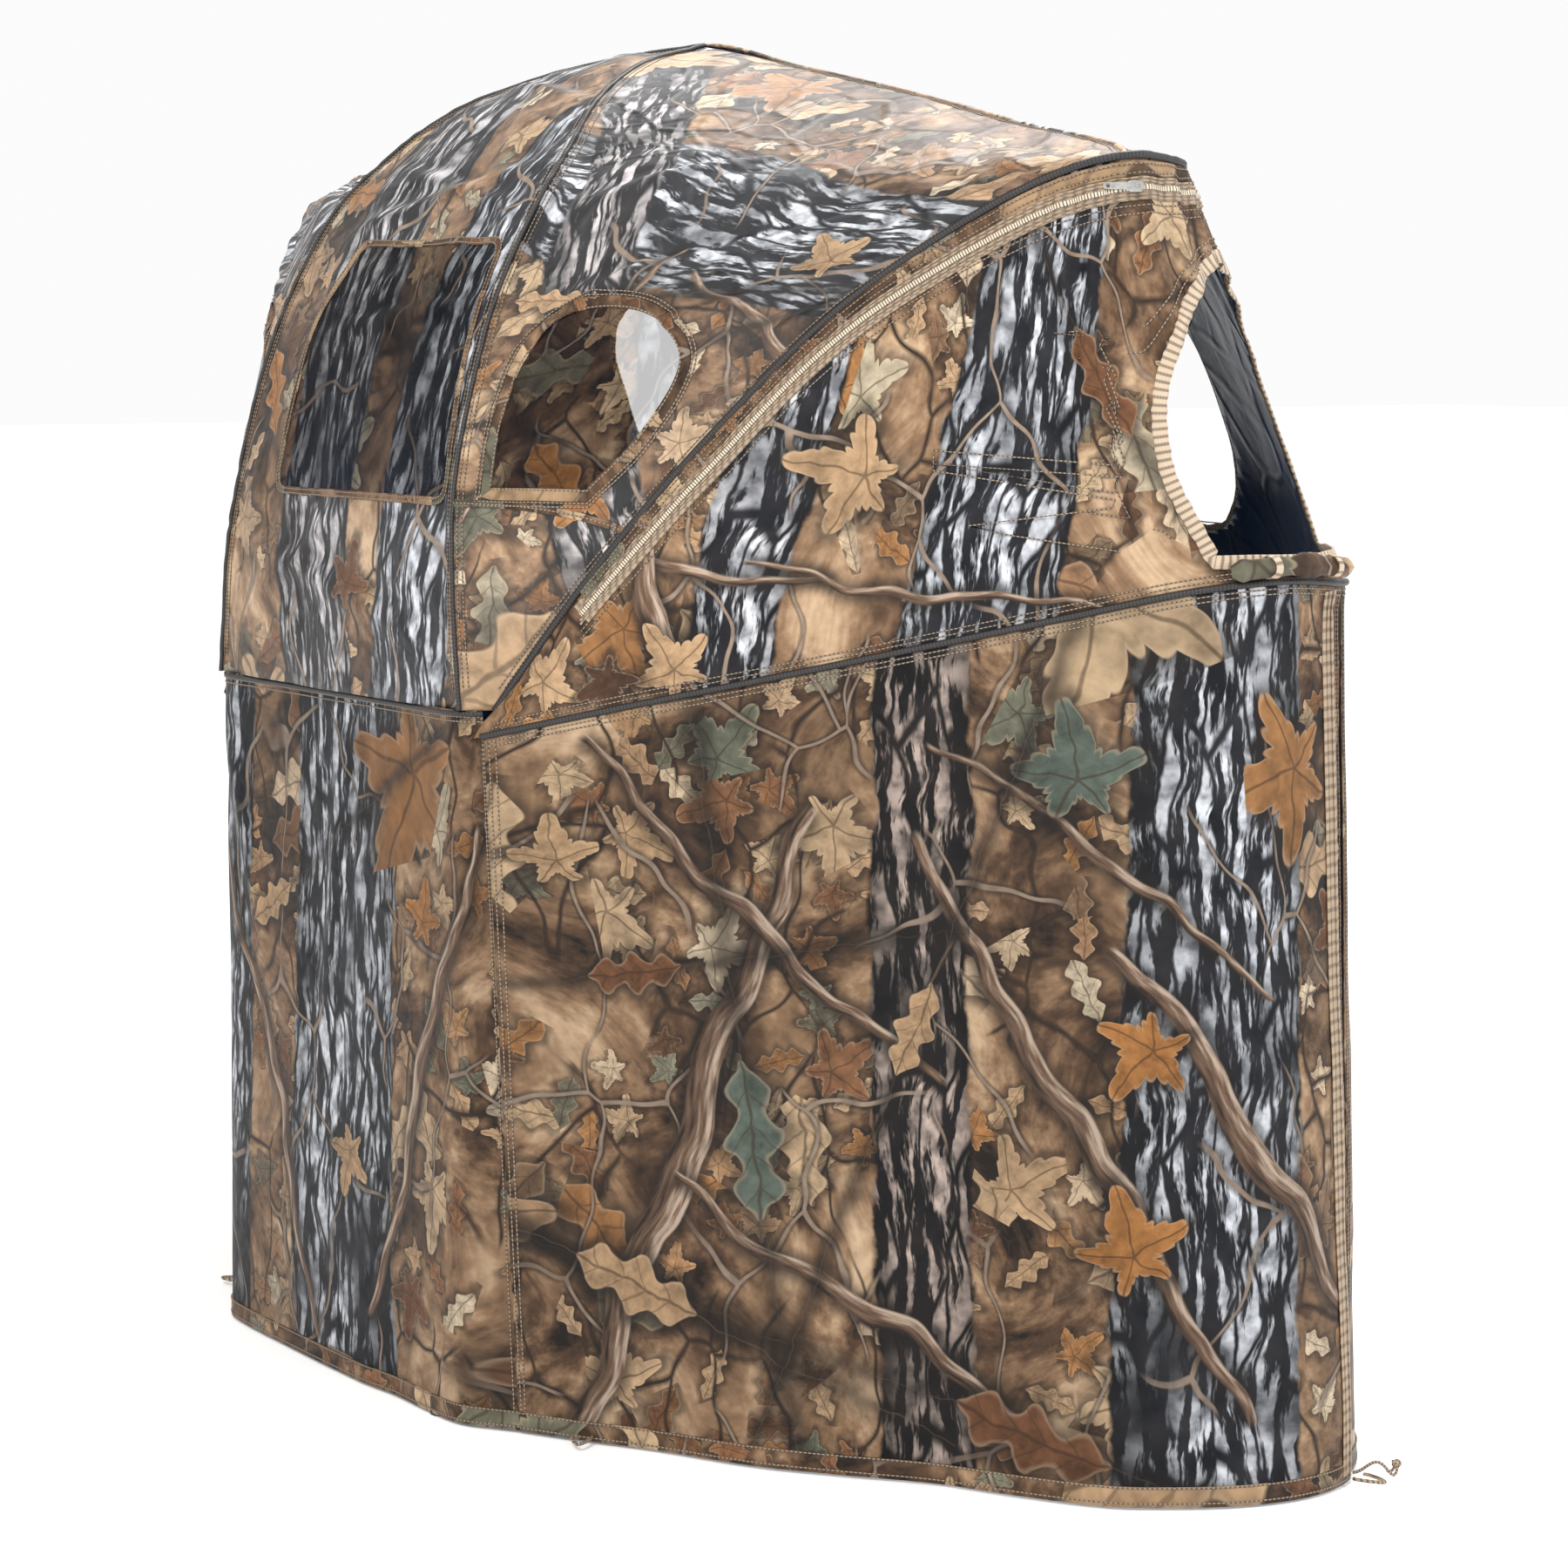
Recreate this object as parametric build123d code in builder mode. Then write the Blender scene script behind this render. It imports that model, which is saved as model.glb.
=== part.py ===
"""Flip-over chair blind: a folding chair carrying three pivoting bows and a sewn fabric canopy.

Millimetres. +Z up, origin on the ground midway between the two side pivots, front faces -Y.
Table points are (forward, sideways, height); forward is -Y and sideways is measured from the middle.
"""
import os

from build123d import *

os.makedirs("parts", exist_ok=True)

# ---------------------------------------------------------------- driving dimensions
HUB_Z = 720.0            # height of the bow pivot line
POST_X = 215.0           # chair post centre line, from the middle
TUBE_R, TUBE_WALL = 11.0, 1.2
SLIM_R = 10.0            # seat frame tube radius
STAY_R = 8.0             # cross stays
RAIL_X = 191.0           # seat rail and armrest centre line
SEAT_Z, ARM_Z = 420.0, 650.0
SEAT_REACH = 400.0       # pivot to pivot, rear to front
SEAT_NOSE, SEAT_HEEL = 442.0, 9.0      # ends of the seat rails, ahead of and behind the rear pivots
BACK_TOP = 905.0
FOOT_H = 14.0            # plastic foot under each leg tube
PIN_R = 5.0              # pivot bolts
RUN = 0.05               # running clearance on a pivot bolt
ROD_R = 4.75             # glass-fibre bow rod
SOCKET_R = 6.5
EYE_R = 12.0
LANE_A, LANE_B, LANE_C = 234.5, 248.5, 262.5   # side position of each bow's pivot eye
EYE_T = 12.0
FABRIC = 3.0             # thickness of the fabric stand-ins
SLEEVE = 18.0            # bow rod centre, inside the fabric line
SEAM = 4.0               # gap left between neighbouring panels
REAR_F = -18.0           # rear wall plane, just behind the chair posts
LEFT, RIGHT = 1, -1

# seam over the rear bow, pivot to peak
REAR_LINE = [
    (-18, 283, 752), (-18, 268, 890), (-8, 255, 985), (19, 250, 1100), (52, 243, 1190),
    (108, 235, 1290), (157, 212, 1345), (217, 170, 1400), (322, 95, 1450), (466, 0, 1485),
]
# seam over the middle bow, pivot to the middle of the front
MID_LINE = [
    (14, 302, 752), (72, 403, 898), (149, 511, 1043), (240, 636, 1184), (354, 797, 1298),
    (405, 862, 1320), (482, 848, 1316), (542, 775, 1308), (632, 600, 1304), (702, 380, 1309),
    (738, 190, 1316), (752, 0, 1320),
]
# seam over the front bow, pivot to the middle of the front
FRONT_LINE = [
    (-10, 290, 722), (66, 403, 753), (152, 511, 783), (222, 603, 808), (367, 797, 862),
    (446, 905, 892), (525, 952, 903), (622, 932, 897), (752, 745, 889), (842, 450, 886),
    (895, 220, 885), (912, 0, 885),
]
# hem on the ground, rear corner to the middle of the front
HEM_LINE = [
    (-12, 266, 0), (72, 385, 0), (134, 511, 0), (198, 603, 0), (330, 797, 0),
    (400, 886, 0), (500, 944, 0), (632, 935, 0), (772, 745, 0), (858, 450, 0),
    (911, 220, 0), (928, 0, 0),
]
# ridge fold of the roof, middle-bow corner to peak
RIDGE_LINE = [(440, 800, 1334), (452, 640, 1362), (460, 430, 1405), (464, 210, 1446), (466, 0, 1485)]


def at(point, side=RIGHT):
    """Row-frame position of a (forward, sideways, height) table point."""
    return Vector(side * point[1], -point[0], point[2])


def toward(a, b, distance):
    """The point a moved towards b by a distance."""
    return a + (b - a).normalized() * distance


def strip_plane(a, b, inward):
    """Plane of the strip cross-section from a to b whose thickness runs along inward."""
    run = (b - a).normalized()
    normal = run.cross(inward).normalized()
    return Plane(origin=a, x_dir=run, z_dir=normal)


def strip_face(a, b, inward):
    """The thin cross-section of a panel between a and b, thickened along inward."""
    plane = strip_plane(a, b, inward)
    step = inward.normalized() * FABRIC
    with BuildSketch(plane) as section:
        with BuildLine():
            corners = [plane.to_local_coords(p) for p in (a, b, b + step, a + step)]
            Polyline(*[(c.X, c.Y) for c in corners], close=True)
        make_face()
    return section.sketch


def skin(sections):
    """Add a thin sheet through neighbouring cross-sections to the open part."""
    for a, b in zip(sections, sections[1:]):
        loft([a, b], ruled=True)


def inner(point, depth=SLEEVE, side=RIGHT):
    """A table point moved inside the fabric, towards the middle of the cabin."""
    p = at(point, side)
    return toward(p, Vector(side * 30.0, -330.0, 900.0), depth)


MIDDLE = Vector(0, -380, 900)


def inward_from(a, b):
    """Horizontal-leaning direction from the middle of a-b into the cabin, square to a-b."""
    mid = (a + b) * 0.5
    run = (b - a).normalized()
    way = Vector(MIDDLE.X - mid.X, MIDDLE.Y - mid.Y, (MIDDLE.Z - mid.Z) * 0.35)
    return (way - run * way.dot(run)).normalized()


# ---------------------------------------------------------------- chair: fixed back frame
with BuildPart() as back_frame:
    with BuildLine() as back_path:
        Polyline((-POST_X, 0, FOOT_H), (-POST_X, 0, BACK_TOP), (POST_X, 0, BACK_TOP), (POST_X, 0, FOOT_H))
        fillet(back_path.vertices().group_by(Axis.Z)[-1], 50)
    with BuildSketch(Plane(origin=(-POST_X, 0, FOOT_H), z_dir=(0, 0, 1))):
        Circle(TUBE_R)
        Circle(TUBE_R - TUBE_WALL, mode=Mode.SUBTRACT)
    sweep(path=back_path.wires()[0])
    for height, radius in ((SEAT_Z, PIN_R), (ARM_Z, PIN_R), (HUB_Z, PIN_R)):
        with BuildSketch(Plane.YZ) as bolt_holes:
            with Locations((0, height)):
                Circle(radius)
        extrude(amount=POST_X + 40, both=True, mode=Mode.SUBTRACT)
    with BuildSketch(Plane.YZ):
        with Locations((0, 140)):
            Circle(STAY_R)
    extrude(amount=POST_X, both=True, mode=Mode.SUBTRACT)
back_frame.part.label = "chair_back_frame"
export_step(back_frame.part, "parts/chair_back_frame.step")

with BuildPart() as back_stay:
    with BuildSketch(Plane.YZ):
        with Locations((0, 140)):
            Circle(STAY_R)
            Circle(STAY_R - TUBE_WALL, mode=Mode.SUBTRACT)
    extrude(amount=POST_X, both=True)
back_stay.part.label = "chair_rear_stay"
export_step(back_stay.part, "parts/chair_rear_stay.step")

with BuildPart() as rear_feet:
    for side in (LEFT, RIGHT):
        with BuildSketch(Plane.XY):
            with Locations((side * POST_X, 0)):
                Circle(TUBE_R + 3)
        extrude(amount=FOOT_H)
        with BuildSketch(Plane.XY.offset(FOOT_H)):
            with Locations((side * POST_X, 0)):
                Circle(TUBE_R - TUBE_WALL - 0.1)
        extrude(amount=18)
    fillet(rear_feet.edges().group_by(Axis.Z)[0], 2)
rear_feet.part.label = "rear_foot_caps"
export_step(rear_feet.part, "parts/rear_foot_caps.step")

# ---------------------------------------------------------------- pivot bolts, washers and nuts
with BuildPart() as hub_bolts:
    for side in (LEFT, RIGHT):
        with BuildSketch(Plane(origin=(side * (POST_X - TUBE_R - 5), 0, HUB_Z), z_dir=(side, 0, 0))):
            Circle(8)
        extrude(amount=5)
        with BuildSketch(Plane(origin=(side * (POST_X - TUBE_R), 0, HUB_Z), z_dir=(side, 0, 0))):
            Circle(PIN_R - 0.05)
        extrude(amount=278 - (POST_X - TUBE_R))
hub_bolts.part.label = "hub_bolts"
export_step(hub_bolts.part, "parts/hub_bolts.step")

with BuildPart() as hub_washers:
    for side in (LEFT, RIGHT):
        for start, end in (
            (POST_X + TUBE_R, LANE_A - EYE_T / 2),
            (LANE_A + EYE_T / 2, LANE_B - EYE_T / 2),
            (LANE_B + EYE_T / 2, LANE_C - EYE_T / 2),
            (LANE_C + EYE_T / 2, LANE_C + EYE_T / 2 + 1.5),
        ):
            with BuildSketch(Plane(origin=(side * (start + 0.1), 0, HUB_Z), z_dir=(side, 0, 0))):
                Circle(11)
                Circle(PIN_R + RUN, mode=Mode.SUBTRACT)
            extrude(amount=end - start - 0.2)
hub_washers.part.label = "hub_washers"
export_step(hub_washers.part, "parts/hub_washers.step")

with BuildPart() as hub_nuts:
    for side in (LEFT, RIGHT):
        with BuildSketch(Plane(origin=(side * (LANE_C + EYE_T / 2 + 1.6), 0, HUB_Z), z_dir=(side, 0, 0))):
            RegularPolygon(9.8, 6)
            Circle(PIN_R, mode=Mode.SUBTRACT)
        extrude(amount=6)
    fillet(hub_nuts.edges().filter_by(Axis.X), 1)
hub_nuts.part.label = "hub_nuts"
export_step(hub_nuts.part, "parts/hub_nuts.step")

with BuildPart() as rear_pivot_bolts:
    for side in (LEFT, RIGHT):
        for height, inside in ((SEAT_Z, RAIL_X - SLIM_R - 4), (ARM_Z, RAIL_X)):
            with BuildSketch(Plane(origin=(side * inside, 0, height), z_dir=(side, 0, 0))):
                Circle(7.5)
            extrude(amount=3.5)
            with BuildSketch(Plane(origin=(side * (inside + 3.5), 0, height), z_dir=(side, 0, 0))):
                Circle(PIN_R - 0.05)
            extrude(amount=POST_X + TUBE_R + 0.2 - inside - 3.5)
            with BuildSketch(Plane(origin=(side * (POST_X + TUBE_R + 0.2), 0, height), z_dir=(side, 0, 0))):
                Circle(7.5)
            extrude(amount=1.4)
rear_pivot_bolts.part.label = "rear_pivot_bolts"
export_step(rear_pivot_bolts.part, "parts/rear_pivot_bolts.step")

# ---------------------------------------------------------------- chair: seat frame
with BuildPart() as seat_frame:
    with BuildLine() as seat_path:
        Polyline((-RAIL_X, SEAT_HEEL, SEAT_Z), (-RAIL_X, -SEAT_NOSE, SEAT_Z),
                 (RAIL_X, -SEAT_NOSE, SEAT_Z), (RAIL_X, SEAT_HEEL, SEAT_Z))
        fillet(seat_path.vertices().group_by(Axis.Y)[0], 28)
    with BuildSketch(Plane(origin=(-RAIL_X, SEAT_HEEL, SEAT_Z), z_dir=(0, -1, 0))):
        Circle(SLIM_R)
        Circle(SLIM_R - TUBE_WALL, mode=Mode.SUBTRACT)
    sweep(path=seat_path.wires()[0])
    for forward in (0, SEAT_REACH):
        with BuildSketch(Plane.YZ):
            with Locations((-forward, SEAT_Z)):
                Circle(PIN_R)
        extrude(amount=RAIL_X + 20, both=True, mode=Mode.SUBTRACT)
    with BuildSketch(Plane.YZ):
        with Locations((-70, SEAT_Z)):
            Circle(STAY_R)
    extrude(amount=RAIL_X, both=True, mode=Mode.SUBTRACT)
seat_frame.part.label = "seat_frame"
export_step(seat_frame.part, "parts/seat_frame.step")

with BuildPart() as seat_stay:
    with BuildSketch(Plane.YZ):
        with Locations((-70, SEAT_Z)):
            Circle(STAY_R)
            Circle(STAY_R - TUBE_WALL, mode=Mode.SUBTRACT)
    extrude(amount=RAIL_X, both=True)
seat_stay.part.label = "seat_rear_stay"
export_step(seat_stay.part, "parts/seat_rear_stay.step")

with BuildPart() as front_pivot_bolts:
    for side in (LEFT, RIGHT):
        inside = RAIL_X - SLIM_R - 4
        with BuildSketch(Plane(origin=(side * inside, -SEAT_REACH, SEAT_Z), z_dir=(side, 0, 0))):
            Circle(7.5)
        extrude(amount=3.5)
        with BuildSketch(Plane(origin=(side * (inside + 3.5), -SEAT_REACH, SEAT_Z), z_dir=(side, 0, 0))):
            Circle(PIN_R - 0.05)
        extrude(amount=POST_X + TUBE_R + 0.2 - inside - 3.5)
        with BuildSketch(Plane(origin=(side * (POST_X + TUBE_R + 0.2), -SEAT_REACH, SEAT_Z), z_dir=(side, 0, 0))):
            Circle(7.5)
        extrude(amount=1.4)
front_pivot_bolts.part.label = "front_pivot_bolts"
export_step(front_pivot_bolts.part, "parts/front_pivot_bolts.step")

# ---------------------------------------------------------------- chair: front leg frame
with BuildPart() as front_legs:
    for side in (LEFT, RIGHT):
        with BuildSketch(Plane.XY.offset(FOOT_H)):
            with Locations((side * POST_X, -SEAT_REACH)):
                Circle(TUBE_R)
                Circle(TUBE_R - TUBE_WALL, mode=Mode.SUBTRACT)
        extrude(amount=ARM_Z + 8 - FOOT_H)
    for height in (SEAT_Z, ARM_Z):
        with BuildSketch(Plane.YZ):
            with Locations((-SEAT_REACH, height)):
                Circle(PIN_R)
        extrude(amount=POST_X + 20, both=True, mode=Mode.SUBTRACT)
    with BuildSketch(Plane.YZ):
        with Locations((-SEAT_REACH, 170)):
            Circle(STAY_R)
    extrude(amount=POST_X, both=True, mode=Mode.SUBTRACT)
front_legs.part.label = "front_legs"
export_step(front_legs.part, "parts/front_legs.step")

with BuildPart() as front_stay:
    with BuildSketch(Plane.YZ):
        with Locations((-SEAT_REACH, 170)):
            Circle(STAY_R)
            Circle(STAY_R - TUBE_WALL, mode=Mode.SUBTRACT)
    extrude(amount=POST_X, both=True)
front_stay.part.label = "front_leg_stay"
export_step(front_stay.part, "parts/front_leg_stay.step")

with BuildPart() as front_feet:
    for side in (LEFT, RIGHT):
        with BuildSketch(Plane.XY):
            with Locations((side * POST_X, -SEAT_REACH)):
                Circle(TUBE_R + 3)
        extrude(amount=FOOT_H)
        with BuildSketch(Plane.XY.offset(FOOT_H)):
            with Locations((side * POST_X, -SEAT_REACH)):
                Circle(TUBE_R - TUBE_WALL - 0.1)
        extrude(amount=18)
    fillet(front_feet.edges().group_by(Axis.Z)[0], 2)
front_feet.part.label = "front_foot_caps"
export_step(front_feet.part, "parts/front_foot_caps.step")

with BuildPart() as leg_top_caps:
    for side in (LEFT, RIGHT):
        with BuildSketch(Plane.XY.offset(ARM_Z + 8)):
            with Locations((side * POST_X, -SEAT_REACH)):
                Circle(TUBE_R)
        extrude(amount=5)
    fillet(leg_top_caps.edges().group_by(Axis.Z)[-1], 2)
leg_top_caps.part.label = "leg_top_caps"
export_step(leg_top_caps.part, "parts/leg_top_caps.step")

with BuildPart() as arm_front_bolts:
    for side in (LEFT, RIGHT):
        inside = RAIL_X
        with BuildSketch(Plane(origin=(side * inside, -SEAT_REACH, ARM_Z), z_dir=(side, 0, 0))):
            Circle(7.5)
        extrude(amount=3.5)
        with BuildSketch(Plane(origin=(side * (inside + 3.5), -SEAT_REACH, ARM_Z), z_dir=(side, 0, 0))):
            Circle(PIN_R - 0.05)
        extrude(amount=POST_X + TUBE_R + 0.2 - inside - 3.5)
        with BuildSketch(Plane(origin=(side * (POST_X + TUBE_R + 0.2), -SEAT_REACH, ARM_Z), z_dir=(side, 0, 0))):
            Circle(7.5)
        extrude(amount=1.4)
arm_front_bolts.part.label = "arm_front_bolts"
export_step(arm_front_bolts.part, "parts/arm_front_bolts.step")

# ---------------------------------------------------------------- chair: armrests
ARM_T = 5.0     # armrest bar thickness, sideways
with BuildPart() as right_arm:
    with BuildSketch(Plane(origin=(-RAIL_X - 4, 0, 0), x_dir=(0, -1, 0), z_dir=(-1, 0, 0))):
        with Locations((SEAT_REACH / 2, ARM_Z)):
            SlotOverall(SEAT_REACH + 22, 22)
        with Locations((0, ARM_Z), (SEAT_REACH, ARM_Z)):
            Circle(PIN_R + RUN, mode=Mode.SUBTRACT)
    extrude(amount=ARM_T)
    with BuildSketch(Plane.XY.offset(ARM_Z + 8)):
        with Locations((-RAIL_X + 8.5, -(70 + 378) / 2)):
            Rectangle(35, 378 - 70)
    extrude(amount=3)
right_arm.part.label = "right_armrest_bar"
export_step(right_arm.part, "parts/right_armrest_bar.step")

with BuildPart() as left_arm:
    mirror(right_arm.part, about=Plane.YZ)
left_arm.part.label = "left_armrest_bar"
export_step(left_arm.part, "parts/left_armrest_bar.step")

with BuildPart() as right_pad:
    with BuildSketch(Plane.XY.offset(ARM_Z + 11.5)):
        with Locations((-RAIL_X + 11, -(66 + 384) / 2)):
            RectangleRounded(40, 384 - 66, 16)
    extrude(amount=15)
    fillet(right_pad.edges().group_by(Axis.Z)[-1], 6)
right_pad.part.label = "right_armrest_pad"
export_step(right_pad.part, "parts/right_armrest_pad.step")

with BuildPart() as left_pad:
    mirror(right_pad.part, about=Plane.YZ)
left_pad.part.label = "left_armrest_pad"
export_step(left_pad.part, "parts/left_armrest_pad.step")

# ---------------------------------------------------------------- chair: fabric seat and back
SLING_HALF = 174.0
SLING_BACK, SLING_FRONT = 84.0, 425.0
with BuildPart() as seat_sling:
    with BuildSketch(Plane.XZ.offset(SLING_BACK)):
        with BuildLine():
            ThreePointArc((-SLING_HALF, SEAT_Z + 2), (0, SEAT_Z - 20), (SLING_HALF, SEAT_Z + 2))
            Line((SLING_HALF, SEAT_Z + 2), (SLING_HALF, SEAT_Z - 3))
            ThreePointArc((SLING_HALF, SEAT_Z - 3), (0, SEAT_Z - 25), (-SLING_HALF, SEAT_Z - 3))
            Line((-SLING_HALF, SEAT_Z - 3), (-SLING_HALF, SEAT_Z + 2))
        make_face()
    extrude(amount=SLING_FRONT - SLING_BACK)
seat_sling.part.label = "seat_sling"
export_step(seat_sling.part, "parts/seat_sling.step")

with BuildPart() as back_sling:
    with BuildSketch(Plane.XY.offset(555)):
        with Locations((0, 12.4)):
            Rectangle(2 * POST_X - 22, 2.4)
    extrude(amount=BACK_TOP - 12 - 555)
back_sling.part.label = "back_sling"
export_step(back_sling.part, "parts/back_sling.step")

# ---------------------------------------------------------------- bow pivots and rods
BOWS = {"rear": (LANE_A, 90.0), "middle": (LANE_B, 66.0), "front": (LANE_C, 24.0)}
SOCKET_START, SOCKET_END = 11.2, 62.0      # rod socket, from the pivot axis


def leg_direction(bow):
    """Unit vector of a bow's leg as it leaves its pivot eye."""
    return Vector(0, -1, 0).rotate(Axis.X, -BOWS[bow][1])


def disc(origin, way, radius):
    """A round sketch at origin, facing along way."""
    with BuildSketch(Plane(origin=origin, z_dir=way)) as face:
        Circle(radius)
    return face.sketch


def knuckle_side(bow, side):
    """Add the pivot eye and rod socket of one bow on one side to the open part."""
    lane = BOWS[bow][0]
    way = leg_direction(bow)
    out = Vector(side, 0, 0)
    hub = Vector(side * lane, 0, HUB_Z)
    extrude(disc(hub - out * EYE_T / 2, out, EYE_R), amount=EYE_T)
    extrude(disc(hub + way * SOCKET_START, way, SOCKET_R), amount=SOCKET_END - SOCKET_START)
    extrude(disc(hub + way * 19, way, ROD_R + RUN), amount=SOCKET_END, mode=Mode.SUBTRACT)
    extrude(disc(hub - out * EYE_T, out, PIN_R), amount=2 * EYE_T, mode=Mode.SUBTRACT)


with BuildPart() as rear_knuckles:
    for side in (LEFT, RIGHT):
        knuckle_side("rear", side)
rear_knuckles.part.label = "rear_bow_knuckles"
export_step(rear_knuckles.part, "parts/rear_bow_knuckles.step")

with BuildPart() as middle_knuckles:
    for side in (LEFT, RIGHT):
        knuckle_side("middle", side)
middle_knuckles.part.label = "middle_bow_knuckles"
export_step(middle_knuckles.part, "parts/middle_bow_knuckles.step")

with BuildPart() as front_knuckles:
    for side in (LEFT, RIGHT):
        knuckle_side("front", side)
front_knuckles.part.label = "front_bow_knuckles"
export_step(front_knuckles.part, "parts/front_bow_knuckles.step")


# extra depth where a rod bulges between seam points, by the point's place in its line
TUCK = {"rear": {}, "middle": {4: 12.0, 5: 12.0}, "front": {4: 9.0, 5: 6.0, 6: 3.0, 7: 14.0, 8: 14.0}}


def rod_points(bow, line, first):
    """Centre line of a bow rod: socket, inside the seam line, over the middle and back."""
    way = leg_direction(bow)
    lane = BOWS[bow][0]
    half = [Vector(RIGHT * lane, 0, HUB_Z) + way * 20, Vector(RIGHT * lane, 0, HUB_Z) + way * 64]
    half += [inner(line[i], SLEEVE + TUCK[bow].get(i, 0)) for i in range(first, len(line) - 1)]
    end = at(line[-1])
    middle = toward(end, Vector(0, -330, 900), SLEEVE + 2)
    other = [Vector(-p.X, p.Y, p.Z) for p in reversed(half)]
    return half + [middle] + other


with BuildPart() as rear_rod:
    with BuildLine() as rear_path:
        pts = rod_points("rear", REAR_LINE, 3)
        way = leg_direction("rear")
        Line(pts[0], pts[1])
        Spline(*pts[1:-1], tangents=(way, way * -1), tangent_scalars=(0.8, 0.8))
        Line(pts[-2], pts[-1])
    with BuildSketch(Plane(origin=pts[0], z_dir=leg_direction("rear"))):
        Circle(ROD_R)
    sweep(path=rear_path.wires()[0], is_frenet=True)
rear_rod.part.label = "rear_bow_rod"
export_step(rear_rod.part, "parts/rear_bow_rod.step")

with BuildPart() as middle_rod:
    with BuildLine() as middle_path:
        pts = rod_points("middle", MID_LINE, 1)
        way = leg_direction("middle")
        Line(pts[0], pts[1])
        Spline(*pts[1:-1], tangents=(way, way * -1), tangent_scalars=(0.8, 0.8))
        Line(pts[-2], pts[-1])
    with BuildSketch(Plane(origin=pts[0], z_dir=leg_direction("middle"))):
        Circle(ROD_R)
    sweep(path=middle_path.wires()[0], is_frenet=True)
middle_rod.part.label = "middle_bow_rod"
export_step(middle_rod.part, "parts/middle_bow_rod.step")

with BuildPart() as front_rod:
    with BuildLine() as front_path:
        pts = rod_points("front", FRONT_LINE, 2)
        way = leg_direction("front")
        Line(pts[0], pts[1])
        Spline(*pts[1:-1], tangents=(way, way * -1), tangent_scalars=(0.8, 0.8))
        Line(pts[-2], pts[-1])
    with BuildSketch(Plane(origin=pts[0], z_dir=leg_direction("front"))):
        Circle(ROD_R)
    sweep(path=front_path.wires()[0], is_frenet=True)
front_rod.part.label = "front_bow_rod"
export_step(front_rod.part, "parts/front_bow_rod.step")


# ---------------------------------------------------------------- canopy: rear wall
def across(point, thin):
    """Cross-section of the rear wall at a rear-bow point, thickened along thin."""
    return strip_face(at(point, RIGHT) + Vector(SEAM, 0, 0), at(point, LEFT) - Vector(SEAM, 0, 0), thin)


REAR_NORMALS = [(1, 0), (1, 0), (1, -0.1), (0.97, -0.25), (0.9, -0.42), (0.8, -0.6),
                (0.71, -0.7), (0.6, -0.8), (0.42, -0.9), (0.25, -0.97)]
MESH_LOW = 978.0                        # sill of the wings' mesh windows
# rear mesh window: foot, shoulder and top by the right-hand wing, then the left side with its sloping corner
REAR_WINDOW = [(-236, 968), (-212, 1245), (100, 1245), (138, 1150), (145, 968)]
REAR_WINDOW_ROUND = 24.0
with BuildPart() as rear_panel:
    sections = [across(p, Vector(0, -fwd, up)) for p, (fwd, up) in zip(REAR_LINE[:-1], REAR_NORMALS)]
    tip = REAR_LINE[-1]
    sections.append(across((tip[0] - 12, 14, tip[2] - 5), Vector(0, -0.25, -0.97)))
    skin(sections)
    with BuildSketch(Plane.XZ.offset(60)) as rear_window:
        with BuildLine():
            Polyline(*REAR_WINDOW, close=True)
        make_face()
        fillet(rear_window.vertices(), REAR_WINDOW_ROUND)
    extrude(amount=150, both=True, mode=Mode.SUBTRACT)
rear_panel.part.label = "rear_wall"
export_step(rear_panel.part, "parts/rear_wall.step")

with BuildPart() as rear_mesh:
    sections = [across(p, Vector(0, -fwd, up)) for p, (fwd, up) in zip(REAR_LINE[1:6], REAR_NORMALS[1:6])]
    skin(sections)
    with BuildSketch(Plane.XZ.offset(60)) as mesh_outline:
        with BuildLine():
            Polyline(*REAR_WINDOW, close=True)
        make_face()
        fillet(mesh_outline.vertices(), REAR_WINDOW_ROUND)
        offset(amount=-1.0, mode=Mode.REPLACE)
    extrude(amount=150, both=True, mode=Mode.INTERSECT)
rear_mesh.part.label = "rear_window_mesh"
export_step(rear_mesh.part, "parts/rear_window_mesh.step")

with BuildPart() as rear_skirt:
    with BuildSketch(Plane.XZ.offset(REAR_F + FABRIC)):
        with BuildLine():
            Polyline((-258, 2), (258, 2), (276, 660), (222, 664), (222, 744),
                     (-222, 744), (-222, 664), (-276, 660), close=True)
        make_face()
    extrude(amount=-FABRIC)
rear_skirt.part.label = "rear_skirt"
export_step(rear_skirt.part, "parts/rear_skirt.step")


# ---------------------------------------------------------------- canopy: wings, roof, window band, skirts
def along(a, b, share):
    """The table point a given share of the way from a to b."""
    return tuple(p + (q - p) * share for p, q in zip(a, b))


def panel(lower, upper, side, near_gap=SEAM, far_gap=SEAM):
    """Cross-sections of a panel strung between two seam lines on one side."""
    sections = []
    for a, b in zip(lower, upper):
        p, q = at(a, side), at(b, side)
        sections.append(strip_face(toward(p, q, near_gap), toward(q, p, far_gap), inward_from(p, q)))
    return sections


WING_REAR = REAR_LINE[:6] + [along(REAR_LINE[5], REAR_LINE[6], 0.5)] + REAR_LINE[6:9]
WING_REAR.append(along(REAR_LINE[8], REAR_LINE[9], 0.85))
WING_FRONT = [(4, 300, 754)] + MID_LINE[1:6] + RIDGE_LINE[:4]
WING_FRONT.append(along(RIDGE_LINE[3], RIDGE_LINE[4], 0.85))
ARCH = [(-292, 0), (-300, 142), (-352, 194), (-440, 190), (-482, 142), (-450, 62), (-398, 0)]


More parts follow.
